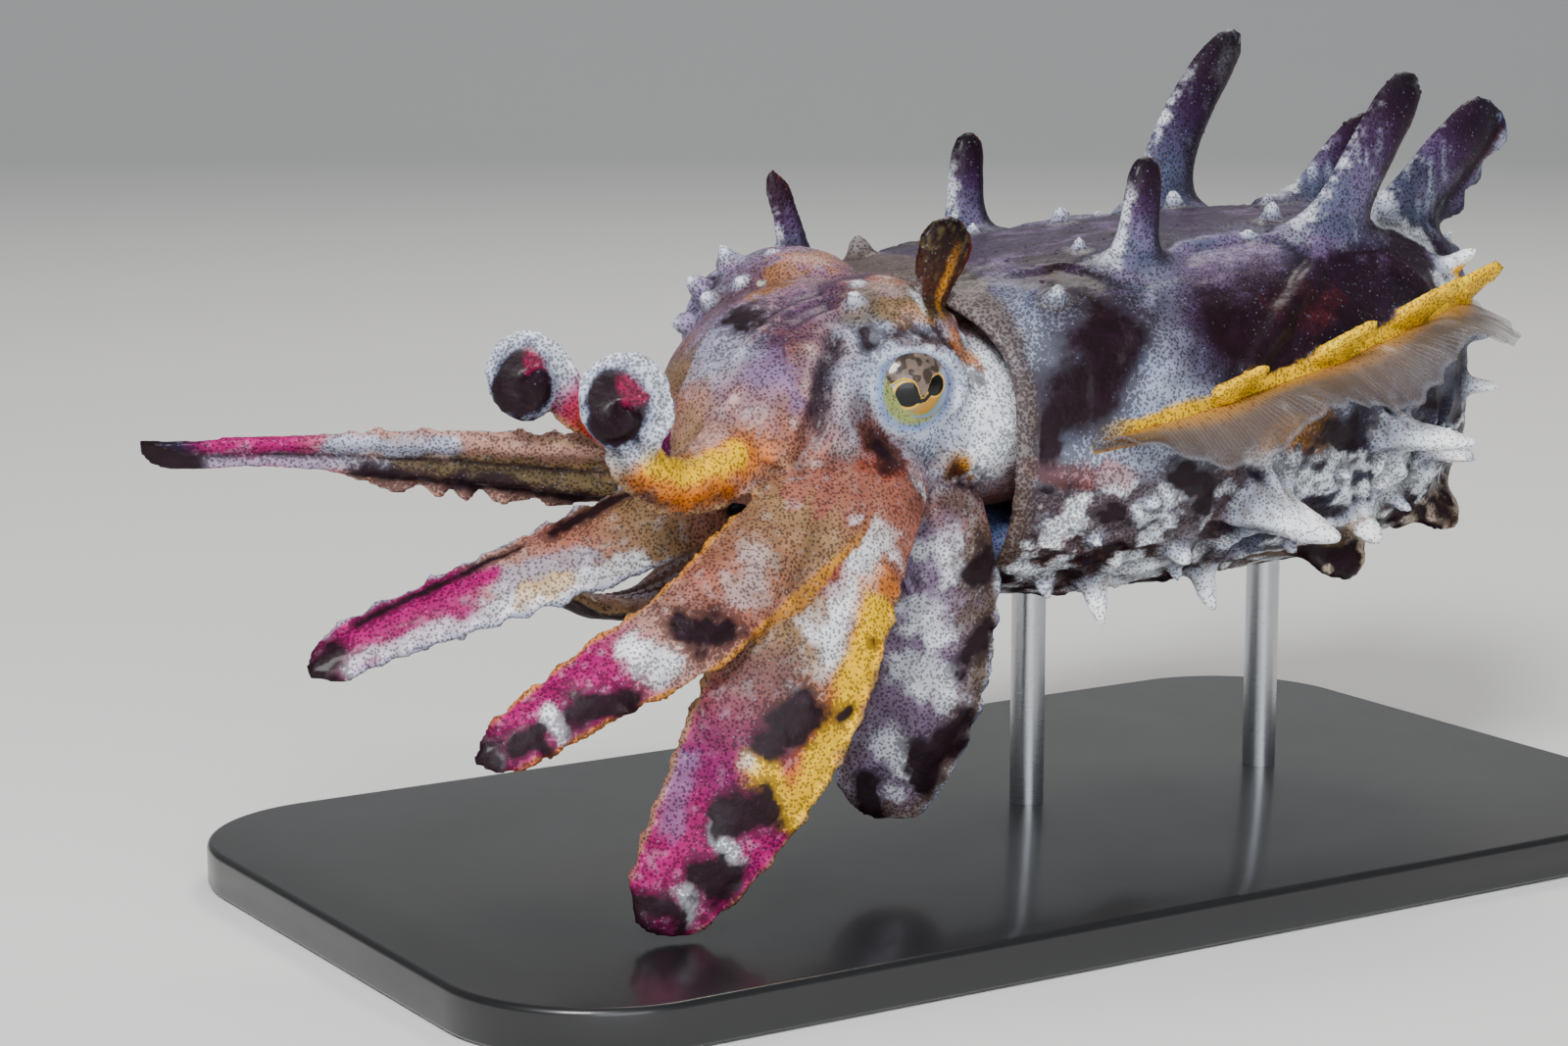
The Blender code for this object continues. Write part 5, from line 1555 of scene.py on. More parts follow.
PATTERNS = {
    "left_1": ArmPattern("0 SALMON, 0.3 ROSE, 0.5 ROSE, 0.6 SAND, 0.7 PEARL, 1 PEARL", """
        BROWN 1.1 1 0.8 | 0.4 -0.9, 0.58 -0.9
        ORANGE 1.9 0.9 0.85 | 0.3 -0.3, 0.42 0, 0.52 0.4, 0.6 0.7
        YELLOW 1 0.9 | 0.34 -0.1, 0.44 0.3, 0.52 0.6, 0.6 0.8, 0.7 0.9
    """),
    "left_2": ArmPattern("0 SALMON, 0.3 SAND, 0.5 SALMON, 0.64 ROSE, 0.74 MAGENTA, 0.92 MAGENTA, 1 PLUM", """
        WHITE 1.5 2.2 0.25 | 0.42 0.1, 0.48 -0.3
        WHITE 1.2 1.8 0.85 | 0.66 -0.5, 0.69 0.2
        WHITE 0.7 1.8 0.9 | 0.86 0.1, 0.85 -0.7
        WHITE 0.6 1.8 0.8 | 0.97 -0.4
        BROWN 2 1.2 0.6 | 0.56 -0.2, 0.59 0.1
        DARK 1.9 1.2 0.95 | 0.55 -0.7, 0.6 -0.1
        DARK 1.8 1.2 | 0.73 -0.8, 0.8 -0.5
        DARK 1.3 1.2 | 0.89 -0.6, 0.93 -0.3
        DARK 1.8 0.9 | 0.97 0.1, 1 0
    """, edge=Tone.OCHRE),
    "left_3": ArmPattern("0 SALMON, 0.3 SALMON, 0.5 SAND, 0.6 SALMON, 0.72 MAGENTA, 0.95 MAGENTA, 1 PLUM", """
        PURPLE 4 1 0.45 | 0.6 0.3, 0.7 0.4
        WHITE 1.8 2 0.8 | 0.3 -0.4, 0.4 -0.5, 0.47 -0.3
        WHITE 1.6 2.2 0.35 | 0.47 -0.1, 0.53 -0.3
        CRIMSON 1 1.8 0.5 | 0.38 0, 0.4 -0.1
        ORANGE 1.8 0.9 0.7 | 0.36 -0.8, 0.55 -0.8, 0.7 -0.8
        YELLOW 1.3 0.9 | 0.4 -0.85, 0.5 -0.78, 0.6 -0.85, 0.7 -0.9
        YELLOW 1.6 0.9 | 0.7 -0.15, 0.72 -0.55, 0.74 -0.8
        WHITE 0.8 1.8 0.6 | 0.7 0.05
        WHITE 0.9 1.8 | 0.81 0, 0.84 -0.5
        WHITE 0.8 1.8 | 0.92 -0.2, 0.94 -0.6
        LILAC 1 1.4 0.6 | 0.74 0.9, 0.84 0.8
        DARK 2 1.2 0.97 | 0.6 -0.35, 0.65 -0.1
        DARK 2 1.2 | 0.76 -0.5, 0.79 0
        DARK 1.8 1.2 | 0.87 -0.6, 0.89 -0.2
        DARK 2 1.2 0.95 | 0.955 -0.5, 0.98 0.3
        DARK 0.5 1.4 | 0.56 -0.85, 0.58 -0.75
        DARK 0.5 1.4 | 0.46 -0.9
    """, edge=Tone.SAND),
    "left_4": ArmPattern("0 SALMON, 0.25 SMOKE, 0.6 SMOKE, 1 SMOKE", """
        LILAC 3.6 1.6 0.6 | 0.3 0.2, 0.6 0, 0.9 0.2
        WHITE 1.5 2.2 0.75 | 0.3 0.2, 0.36 -0.3
        WHITE 1.5 2.2 0.75 | 0.45 0.4, 0.5 -0.2
        WHITE 1.4 2.2 0.75 | 0.6 0.2, 0.66 -0.4
        WHITE 1.2 2.2 0.75 | 0.8 0.4, 0.84 -0.2
        WHITE 1.2 2.2 0.7 | 0.93 -0.2
        DARK 1.2 1.4 | 0.33 -0.9, 0.38 -0.7
        DARK 1.4 1.4 | 0.52 -0.9, 0.56 -0.6
        DARK 1.9 1.2 | 0.74 -0.8, 0.8 -0.5, 0.84 -0.7
        DARK 1.6 1.2 | 0.92 0.5, 0.97 0.2, 1 0
        DARK 0.7 1.4 0.9 | 0.42 0.6
    """, edge=Tone.PEARL),
    "right_1": ArmPattern("0 LILAC, 0.35 PURPLE, 0.45 MAGENTA, 0.55 RUST, 0.64 MAGENTA, 0.72 PEARL, 1 PEARL", """
        LILAC 0.6 0.5 | 0.35 1, 0.6 1
    """),
    "right_2": ArmPattern("0 SAND, 0.5 SAND, 0.66 ROSE, 0.76 MAGENTA, 0.88 MAGENTA, 0.93 INDIGO, 1 INDIGO", """
        ROSE 1.1 0.8 0.8 | 0.28 -0.7, 0.56 -0.6
        PEARL 1.1 1.2 0.9 | 0.52 -0.5, 0.7 -0.5
        OLIVE 1 0.8 0.8 | 0.28 0.5, 0.62 0.5
        PEARL 0.7 0.8 0.7 | 0.62 0.5, 0.9 0.4
        DARK 0.22 0.3 0.9 | 0.26 0.12, 0.5 0.1, 0.9 0.05
        PLUM 1.3 0.9 0.85 | 0.3 1.2, 0.66 1.2
        DARK 0.9 1 0.85 | 0.28 1.1, 0.45 1.2, 0.66 1
        DARK 1.5 0.6 | 0.92 0.3, 1 0
    """, inner_weight=0.0, edge=Tone.ROSE),
    "right_3": ArmPattern("0 SALMON, 0.35 SAND, 0.5 SALMON, 0.64 ROSE, 0.7 MAGENTA, 0.92 MAGENTA, 1 PLUM", """
        PEARL 1.5 1.8 0.6 | 0.48 -0.5, 0.62 -0.4
        WHITE 0.85 1.8 0.7 | 0.4 -1, 0.62 -0.95, 0.93 -0.9
        GILT 0.7 2 0.5 | 0.52 -0.75, 0.6 -0.7
        MAGENTA 1.3 0.8 | 0.66 0.1, 0.8 0.1, 0.92 0.1
        DARK 1 1.2 0.95 | 0.3 0.9, 0.4 0.75, 0.5 0.7
        DARK 0.6 0.8 0.95 | 0.58 0.75, 0.7 0.75, 0.88 0.8
        DARK 1.9 0.9 | 0.95 0, 1 0
    """, edge=Tone.PEARL),
    "right_4": ArmPattern("0 SALMON, 0.4 SMOKE, 1 PLUM"),
}


class HeadPattern:
    """The markings of the head and arms. Those round the left eye are laid round the right one as well."""

    BOTH = """
        PEARL 8 0.5 | -16 -14 46, -12 -14.5 44
        WHITE 3.6 0.8 | -7 -14.6 47.5, -7 -15 42
        SALMON 4.6 0.9 | -22 -19 37.5, -17 -17.5 36
        RUST 2.2 1.6 0.7 | -19.6 -15.6 43, -18 -15.9 41.4, -20.2 -17.4 40
        BROWN 1.5 2 0.85 | -19.4 -15.6 42.6, -17.8 -15.9 41.2, -19.8 -17.2 39.8
        BROWN 1.7 1.8 0.85 | -15.2 -14.9 50.2, -11.8 -14.9 49.8
        ORANGE 1.5 1 0.8 | -8 -13.4 51, -8.6 -13.8 49.4
        OCHRE 1.3 1.2 0.6 | -15.5 -12 52.8, -12.5 -12.4 52.4
        DARK 0.8 1.6 | -19.2 -15.8 42.4, -18.4 -16.4 40.2
        DARK 1.1 1.2 | -18.9 -12.6 50.9, -18 -13.4 49.8
        DARK 1.4 1.3 | -14.2 -14 51.2, -11.6 -14 50.8
        DARK 0.7 1.4 | -8.6 -14.8 48.2, -8.2 -15.2 46.4
        DARK 1.5 1.3 | -10.4 -14.6 39.2, -9.4 -14.3 38.2
        DARK 0.9 1.3 | -12.9 -14.6 40.6, -12.4 -14.6 39.4
        DARK 0.6 1.6 0.95 | -20.5 -17.4 41, -20 -17.8 39.6
        DARK 0.6 1.6 0.95 | -17 -17 39, -16.4 -17.2 37.8
        DARK 0.6 1.6 0.9 | -6 -15.6 42, -6.4 -15.2 40.8
        BROWN 1.1 1.8 0.6 | -21 -15.2 45.4, -20.6 -16.2 43.4
        BROWN 1.4 1.8 0.7 | -12.4 -15.6 36.6, -9.6 -14.6 36.4
        WHITE 1.2 2 0.8 | -15.4 -17.4 38.6, -13.6 -17.2 37.2
        OLIVE 1.6 2 0.7 | -18 -10.6 52.6, -14 -10.6 53.4
    """
    ONCE = """
        PURPLE 2.6 0.9 0.85 | -10 -4 54, -18 -6 54, -25 -9 50, -29 -12.5 46.5
        LILAC 3 1.2 0.85 | -28 -12 47, -32 -12.5 45
        PEARL 3.6 1 0.9 | -27 -4 51, -29.5 -6.5 49.5
        LILAC 8.5 1 0.7 | -25 2 53, -19 5 58, -9 7 58
        BROWN 2.6 2.4 0.55 | -25 0 53, -22 1 55
        PEARL 2.6 2.4 0.6 | -22 5 57, -16 8 58
        OCHRE 1.4 2.8 0.5 | -23 -2 54, -17 1 56, -12 2 56.5
        DARK 1.1 1.8 0.9 | -23.5 3 55.5, -22.5 4.5 56
        DARK 2.3 1.8 0.95 | -25.3 -5 52.6, -26.3 -6 51
        PLUM 1.1 0.8 0.8 | -21.5 -12.3 51, -24.5 -15 46, -27.5 -16.8 41.5
    """
    # Fine ridges that run from the brow down to the arms
    RIDGES = (
        read_rows("-12.5 -9.5 53.8, -17.5 -9.8 53.6, -22.5 -9.9 51.6, -27 -11 48.6, -31.5 -11.6 45.8"),
        read_rows("-12 -7 54.4, -18 -7.2 54.4, -24 -7.8 52.2, -29 -8.8 49"),
    )

    def __init__(self, head: Head) -> None:
        """Keeps the head and makes the map from a place to its arm.

        Args:
            head: The head and its arms.
        """
        self.head = head
        ribbons = [arm.ribbon() for arm in head.arms]
        self.owner = np.concatenate([np.full(len(p), k) for k, (p, _) in enumerate(ribbons)])
        self.sample = np.concatenate([i for _, i in ribbons])
        self.tree = KDTree(len(self.owner))
        for i, point in enumerate(np.vstack([p for p, _ in ribbons])):
            self.tree.insert(point, i)
        self.tree.balance()

    def mirrored(self, places: Array) -> Array:
        """The places with those on the right side of the head moved across to the left.

        Args:
            places: Where each vertex is.

        Returns:
            The same places on the left side.
        """
        middle = (self.head.eye_centre(1) + self.head.eye_centre(-1)) / 2
        over = np.maximum((places - middle) @ self.head.right, 0)
        return places - 2 * over[:, None] * self.head.right

    def nearest(self, places: Array) -> tuple[Array, Array]:
        """The arm and the sample of it that are nearest to each place."""
        index = np.array([self.tree.find(place)[1] for place in places])
        return self.owner[index], self.sample[index]

    def relief(self, skin: Skin) -> None:
        """Cuts the groove before the left eye and raises wrinkles, grains and fine ridges.

        Args:
            skin: The skin of the head and arms.
        """
        height = 0.11 * (1.6 * NOISE.creases(skin.co, 2.3, 2) - 0.6)
        height += 0.08 * (NOISE.value(skin.co, 0.8) - 0.5)
        groove = read_marks(self.ONCE)[-1].path
        for places in (skin.co, self.mirrored(skin.co)):
            height -= 0.45 * ramp(1.6, 0.2, distance(places, groove))
        for path in self.RIDGES:
            height += 0.4 * ramp(0.9, 0.1, distance(skin.co, path))
        eyes = np.min([np.linalg.norm(skin.co - self.head.eye_centre(s), axis=1) for s in (1, -1)], axis=0)
        skin.raise_by(height * ramp(4.6, 6, eyes))

    def paint(self, skin: Skin) -> None:
        """Colours the head and every arm.

        Args:
            skin: The skin of the head and arms.
        """
        painter = Painter(skin, Tone.SALMON)
        painter.wash(Tone.SAND, 0.5 * ramp(0, 0.3, painter.rough))
        painter.wash(Tone.WHITE, 0.22 * ramp(0.1, 0.25, painter.fine))
        painter.lay(self.BOTH, self.mirrored(skin.co))
        painter.lay(self.ONCE, skin.co)
        for side in (1, -1):
            self._paint_lid(painter, side)
        owner, sample = self.nearest(skin.co)
        for k, arm in enumerate(self.head.arms):
            self._paint_arm(painter, arm, owner == k, sample)
        for papilla in self.head.growths:
            painter.growth(papilla)
        painter.store()

    def _paint_lid(self, painter: Painter, side: int) -> None:
        """Colours the ring of skin round one eye: yellow-green inside and pale blue outside.

        Args:
            painter: The painter of the head's skin.
            side: 1 for the left eye and -1 for the right.
        """
        offset = painter.skin.co - self.head.eye_centre(side)
        out, up, back = (offset @ way for way in self.head.gaze(side))
        reach = np.hypot(back, 1.12 * up)
        ring = ramp(4.7, 4.1, reach + 0.6 * painter.fine) * ramp(0.5, 1.2, out)
        painter.dark *= 1 - ring
        painter.gradient("0 MOSS, 0.2 SKY, 0.5 PEARL, 1 WHITE", np.clip((reach - 3.0) / 1.9, 0, 1), ring)
        painter.dots = np.where(ring > 0.5, painter.dots * 0.5, painter.dots)

    def _paint_arm(self, painter: Painter, arm: Arm, mine: Array, sample: Array) -> None:
        """Colours one arm, from where it leaves the head to its tip.

        Args:
            painter: The painter of the head's skin.
            arm: The arm.
            mine: Which vertices belong to it.
            sample: The sample of its arm nearest to each vertex.
        """
        wash, rough, fine = painter.wash, painter.rough, painter.fine
        i = np.where(mine, sample, 0)
        offset = painter.skin.co - arm.centre[i]
        across = np.sum(offset * arm.side[i], axis=1)
        depth = np.sum(offset * arm.face[i], axis=1) / arm.half_thickness[i]
        share = arm.share[i] + 0.02 * rough
        pattern = PATTERNS[arm.size.name]
        leaves = ramp(0.16, 0.34, arm.share[i] + 0.15 * rough) * mine
        painter.dark *= 1 - leaves
        painter.gradient(pattern.tones, share, leaves)
        wash(Tone.WHITE, 0.16 * ramp(0.12, 0.3, fine) * leaves)
        places = np.column_stack([share * arm.length, across])
        for mark in read_marks(pattern.marks):
            stop, out = mark.path.T
            path = np.column_stack([stop * arm.length, out * arm.half_width[arm.at(stop)]])
            painter.mark(mark, places, path, leaves)
        inner = ramp(-0.12, -0.35, depth) * leaves * pattern.inner_weight
        painter.gradient(pattern.inner, share, inner)
        rim = ramp(0.15, 0.45, np.abs(across) - arm.half_width[i] + 0.5 * fine) * leaves
        wash(pattern.edge, rim * ramp(0.99, 0.9, share) * 0.8)
        if arm.size.curl is not None:
            self._paint_curl(painter, arm, ramp(0.6, 0.68, arm.share[i]) * mine)
        painter.grain = np.where(mine & (arm.share[i] > 0.16), 0.0, painter.grain)
        painter.dots = np.where(mine, painter.dots * (1 - 0.6 * inner), painter.dots)

    def _paint_curl(self, painter: Painter, arm: Arm, weight: Array) -> None:
        """Colours the paddle of a curl: a dark middle, a magenta side and a pale dotted rim.

        Args:
            painter: The painter of the head's skin.
            arm: The arm.
            weight: 1 on its curl and 0 elsewhere.
        """
        wash, fine = painter.wash, painter.fine
        offset = painter.skin.co - np.array(arm.size.curl[0])
        x, y = offset @ ACROSS, offset @ UPWARD / arm.CURL_HEIGHT
        reach = np.hypot((x + 0.30) / 2.6, (y + 0.45) / 2.8) + 0.4 * fine
        wash(Tone.PEARL, weight)
        wash(Tone.WHITE, weight * ramp(1.05, 1.3, reach) * 0.5)
        inside = ramp(1.08, 0.88, reach)
        wash(Tone.INDIGO, weight * inside)
        warm = ramp(1.9, 1, np.hypot(x - 1.1, y - 1.1) + 1.0 * fine) * inside
        wash(Tone.CRIMSON, weight * warm * 0.9)
        wash(Tone.MAGENTA, weight * warm * 0.45)
        painter.dark = np.where(weight > 0.5, 0.9 * ramp(1, 0.8, reach) * (1 - warm), painter.dark)
        wash(Tone.PLUM, weight * ramp(1.2, 1.6, offset @ FACING))
        painter.dots = np.where(weight > 0.5, 0.8, painter.dots)


# Settings of a smooth change from one value to another, and of a mix of two colours
EASED, TINTS = {"interpolation_type": "SMOOTHSTEP"}, {"data_type": "RGBA"}


class Nodes:
    """A node tree, and the one way to add to it."""

    def __init__(self, tree: bpy.types.NodeTree, prefix: str) -> None:
        """Keeps the tree and what its own kinds of node start with."""
        self.tree, self.prefix = tree, prefix

    def add(self, kind: str, links: dict | tuple = (), out: int | str = 0,
            **settings: object) -> bpy.types.NodeSocket | None:
        """Adds one node.

        Args:
            kind: The node's kind, without the tree's prefix.
            links: A socket or a value for each input, in order or by name or number.
            out: The output that is wanted.
            settings: The node's own settings.

        Returns:
            That output, or None for a node without any.
        """
        node = self.tree.nodes.new(kind if "Node" in kind else self.prefix + kind)
        for key, value in settings.items():
            setattr(node, key, value)
        self.join(node, links)
        return node.outputs[out] if node.outputs else None

    def join(self, node: bpy.types.Node, links: dict | tuple) -> None:
        """Links sockets to a node's inputs, or sets their values.

        Args:
            node: The node.
            links: A socket or a value for each input, in order or by name or number.
        """
        for key, value in links.items() if isinstance(links, dict) else enumerate(links):
            if isinstance(value, bpy.types.NodeSocket):
                self.tree.links.new(value, node.inputs[key])
            else:
                node.inputs[key].default_value = value


class Finish(Nodes):
    """The nodes of one material."""

    def __init__(self, name: str) -> None:
        """Makes the material, with the object's own space for its patterns.

        Args:
            name: The material's name.
        """
        self.material = bpy.data.materials.new(name)
        self.material.use_nodes = True
        super().__init__(self.material.node_tree, "ShaderNode")
        self.where = self.add("TexCoord", out="Object")

    def done(self, inputs: dict, height: object = None, depth: float = 0.0) -> bpy.types.Material:
        """Sets the shader.

        Args:
            inputs: A socket or a value for each of its inputs.
            height: What raises the surface in the light, if anything does.
            depth: How far, in millimetres.

        Returns:
            The material.
        """
        shader = self.tree.nodes["Principled BSDF"]
        self.join(shader, inputs)
        if height is not None:
            self.join(shader, {"Normal": self.add("Bump", {"Height": height, "Distance": depth * MM, "Strength": 0.8})})
        return self.material


def rgba(tone: Tone | str) -> tuple[float, ...]:
    """A tone as a colour with full alpha."""
    return (*linear(tone), 1.0)


@dataclass(frozen=True)
class SkinFinish:
    """Wet living skin whose colour comes from cells of pigment over a layer of mirror cells."""

    name: str = "wet living skin dotted with pigment cells"
    # Real pigment cells are 0.1 to 0.3 mm apart; they are drawn at the upper end, as coarse as the photo shows
    dot_mm: float = 0.29
    fleck_mm: float = 0.30
    roughness: float = 0.46

    def make(self) -> bpy.types.Material:
        """Builds the material. It gives the eye a soft stipple over every tone and a thin wet gleam.

        Returns:
            The material.
        """
        finish = Finish(self.name)
        add, where = finish.add, finish.where
        tone, dark, dots = (add("Attribute", (), out, attribute_name=name)
                            for name, out in (("tone", "Color"), ("dark", "Fac"), ("dots", "Fac")))
        fine = add("TexNoise", {"Vector": where, "Scale": 1 / (0.55 * MM), "Detail": 3.0})
        broad = add("TexNoise", {"Vector": where, "Scale": 1 / (1.6 * MM), "Detail": 3.0})
        # The dark pigment spreads to a ragged edge and lets a little plum through
        ragged = add("Math", (fine, 0.36, -0.18), operation="MULTIPLY_ADD")
        amount = add("Math", (dark, ragged), operation="ADD")
        fill = add("MapRange", (amount, 0.48, 0.80), **EASED)
        plum = add("MapRange", (broad, 0.40, 0.75), **EASED)
        deep = add("Mix", {0: plum, 6: rgba(Tone.INK), 7: rgba(Tone.PLUM)}, 2, **TINTS)
        share = add("Math", (fill, 0.97), operation="MULTIPLY")
        colour = add("Mix", {0: share, 6: tone, 7: deep}, 2, **TINTS)
        # Pigment cells of uneven size, larger where the skin is darker, so that dark areas end in dots
        cells = add("TexVoronoi", {"Vector": where, "Scale": 1 / (self.dot_mm * MM)})
        size = add("Math", (cells.node.outputs["Color"], 0.22, 0.27), operation="MULTIPLY_ADD")
        size = add("Math", (size, add("Math", (dots, 0.45), operation="ADD")), operation="MULTIPLY")
        grown = add("MapRange", (amount, 0.10, 0.75), **EASED)
        size = add("Math", (grown, 0.50, size), operation="MULTIPLY_ADD")
        outside = add("Math", (cells, size), operation="SUBTRACT")
        inside = add("MapRange", (outside, 0.08, -0.06), **EASED)
        stain = add("Mix", {0: 0.78, 6: colour, 7: rgba("#1C0A12")}, 2, **TINTS)
        share = add("Math", (inside, 0.82), operation="MULTIPLY")
        colour = add("Mix", {0: share, 6: colour, 7: stain}, 2, **TINTS)
        # Faint pale flecks of mirror cells, which catch the light between the dots
        flecks = add("TexVoronoi", {"Vector": where, "Scale": 1 / (self.fleck_mm * MM)})
        white = add("MapRange", (flecks.node.outputs["Color"], 0.66, 0.86), **EASED)
        near = add("MapRange", (flecks, 0.40, 0.20), **EASED)
        white = add("Math", (white, near), operation="MULTIPLY")
        white = add("Math", (white, add("Math", (fill, -0.10, 0.11), operation="MULTIPLY_ADD")), operation="MULTIPLY")
        colour = add("Mix", {0: white, 6: colour, 7: rgba("#D6E2FF")}, 2, **TINTS, blend_type="SCREEN")
        wrinkle = add("Math", (fine, 1.1), operation="MULTIPLY")
        height = add("Math", (inside, -0.3, wrinkle), operation="MULTIPLY_ADD")
        return finish.done({
            "Base Color": colour, "Roughness": self.roughness, "IOR": 1.34, "Specular IOR Level": 0.24,
            "Subsurface Weight": 0.06, "Subsurface Radius": (1.0, 0.45, 0.35), "Subsurface Scale": 0.6 * MM,
            "Coat Weight": 0.08, "Coat Roughness": 0.16,
        }, height, 0.1)


class Scatter:
    """A Geometry Nodes tree that sets one small shape many times, on given points or over a skin."""

    def __init__(self, name: str, over_skin: bool) -> None:
        """Builds the tree with its named inputs.

        Args:
            name: The tree's name.
            over_skin: True to scatter over faces, False to use every vertex with its "way" and "size".
        """
        self.tree = bpy.data.node_groups.new(name, "GeometryNodeTree")
        kinds = {"Geometry": "Geometry", "Shape": "Object", "Size": "Float", "Spacing": "Float", "Density": "Float",
                 "Seed": "Int", "Finish": "Material"}
        for label, kind in kinds.items():
            self.tree.interface.new_socket(label, in_out="INPUT", socket_type=f"NodeSocket{kind}")
        self.tree.interface.new_socket("Geometry", in_out="OUTPUT", socket_type="NodeSocketGeometry")
        nodes = Nodes(self.tree, "GeometryNode")
        add, named = nodes.add, "InputNamedAttribute"
        given = {label: add("NodeGroupInput", (), label) for label in kinds}
        if over_skin:
            points = add("DistributePointsOnFaces", {
                "Mesh": given["Geometry"], "Distance Min": given["Spacing"], "Density Max": given["Density"],
                "Density Factor": add(named, {"Name": "grain"}, data_type="FLOAT"), "Seed": given["Seed"],
            }, distribute_method="POISSON")
            turn = points.node.outputs["Rotation"]
            share = add("FunctionNodeRandomValue", {2: 0.45, 3: 1.3, "Seed": given["Seed"]}, 1, data_type="FLOAT")
        else:
            way = add(named, {"Name": "way"}, data_type="FLOAT_VECTOR")
            points, turn = given["Geometry"], add("FunctionNodeAlignRotationToVector", {"Vector": way}, axis="Z")
            share = add(named, {"Name": "size"}, data_type="FLOAT")
        scale = add("ShaderNodeMath", (share, given["Size"]), operation="MULTIPLY")
        shape = add("ObjectInfo", {"Object": given["Shape"]}, "Geometry")
        placed = add("InstanceOnPoints", {"Points": points, "Instance": shape, "Rotation": turn, "Scale": scale})
        real = add("RealizeInstances", (placed,))
        add("NodeGroupOutput", (add("SetMaterial", {"Geometry": real, "Material": given["Finish"]}),))

    def grown(self, base: bpy.types.Mesh, shape: Surface, **values: object) -> bpy.types.Mesh:
        """Runs the tree.

        Args:
            base: The points or the skin to grow on.
            shape: The small shape.
            values: A value for each named input of the tree.

        Returns:
            The plain mesh of all the copies.
        """
        host, tool = linked("host", base), linked("shape", shape.mesh("shape"))
        modifier = host.modifiers.new("scatter", "NODES")
        modifier.node_group = self.tree
        values["Shape"] = tool
        for item in self.tree.interface.items_tree:
            if item.in_out == "INPUT" and item.name in values:
                modifier[item.identifier] = values[item.name]
        graph = bpy.context.evaluated_depsgraph_get()
        mesh = bpy.data.meshes.new_from_object(host.evaluated_get(graph), preserve_all_data_layers=True,
                                               depsgraph=graph)
        host.modifiers.remove(modifier)
        for obj in (host, tool):
            bpy.data.objects.remove(obj)
        return mesh


@dataclass(frozen=True)
class Suckers:
    """Rows of small cups down the inner side of every arm."""

    rows: tuple = (-0.50, -0.18, 0.18, 0.50)
    first: float = 0.16
    last: float = 0.965
    radius_share: float = 0.115
    least: float = 0.17
    most: float = 0.62
    # The arm whose skirts are folded over its groove, so that a dark seam is all that shows
    closed: str = "right_2"
    # Radius and height of a cup's profile from its foot over its rim to its floor, in shares of its radius
    profile: tuple = read_rows("0.62 -0.5, 0.66 0.15, 1 0.62, 0.86 0.78, 0.6 0.56, 0.1 0.42")
    sides: int = 9

    def cup(self) -> Surface:
        """One sucker of radius one, looking up."""
        return Surface.turned(self.profile, self.sides)

    def seats(self, arm: Arm) -> tuple[Array, Array, Array]:
        """Where the suckers of one arm sit, which way they look and how large they are.

        Args:
            arm: The arm.

        Returns:
            Places, ways and radii, a row a sucker.
        """
        places, ways, sizes = [], [], []
        share = self.first
        while share < self.last:
            i = arm.at(share)
            radius = float(np.clip(self.radius_share * arm.half_width[i], self.least, self.most))
            for k, row in enumerate(self.rows):
                i = arm.at(min(1.0, share + (k % 2) * 1.05 * radius / arm.length))
                depth = -GROOVE_RIDGE * min(1.0, (row / 0.81) ** 2 + GROOVE_FLOOR)
                side = arm.side[i] * arm.half_width[i] * row
                places.append(arm.centre[i] + side + arm.face[i] * arm.half_thickness[i] * depth)
                ways.append(-arm.face[i] + 0.35 * row * arm.side[i])
                sizes.append(radius)
            share += 2.15 * radius / arm.length
        return np.array(places), np.array(ways), np.array(sizes)

    def build(self, arms: Sequence[Arm], finish: bpy.types.Material) -> bpy.types.Mesh:
        """The suckers of all the arms as one mesh.

        Args:
            arms: All the arms.
            finish: Their material.

        Returns:
            The mesh in millimetres.
        """
        open_arms = [arm for arm in arms if arm.size.name != self.closed]
        places, ways, sizes = (np.concatenate(rows) for rows in zip(*map(self.seats, open_arms)))
        seats = bpy.data.meshes.new("sucker seats")
        seats.from_pydata(places.tolist(), [], [])
        points = Skin(seats)
        points.store("size", sizes)
        points.store("way", ways)
        shade = NOISE.layered(places, 3, 2)[:, None]
        points.colour("tone", linear(Tone.ROSE) * shade + linear(Tone.PEARL) * (1.1 - shade))
        points.store("dark", np.zeros(len(places)))
        points.store("dots", np.full(len(places), 0.1))
        return Scatter("sucker rows", False).grown(seats, self.cup(), Size=1.0, Finish=finish)


@dataclass(frozen=True)
class Granules:
    """Fine grains over a skin, each with the colour of the skin under it."""

    size: float = 0.20
    spacing: float = 0.75
    density: float = 0.7
    seed: int = 11
    profile: tuple = read_rows("1 -0.6, 0.95 0.05, 0.6 0.42, 0.15 0.55")
    sides: int = 7

    def grain(self) -> Surface:
        """One grain: a low dome of few faces."""
        return Surface.turned(self.profile, self.sides)

    def build(self, skin: Skin, name: str, finish: bpy.types.Material) -> bpy.types.Mesh:
        """The grains of one skin as a mesh.

        Args:
            skin: The painted skin.
            name: The tree's name.
            finish: The grains' material.

        Returns:
            The mesh in millimetres.
        """
        return Scatter(name, True).grown(skin.mesh.copy(), self.grain(), Size=self.size, Spacing=self.spacing,
                                         Density=self.density, Seed=self.seed, Finish=finish)


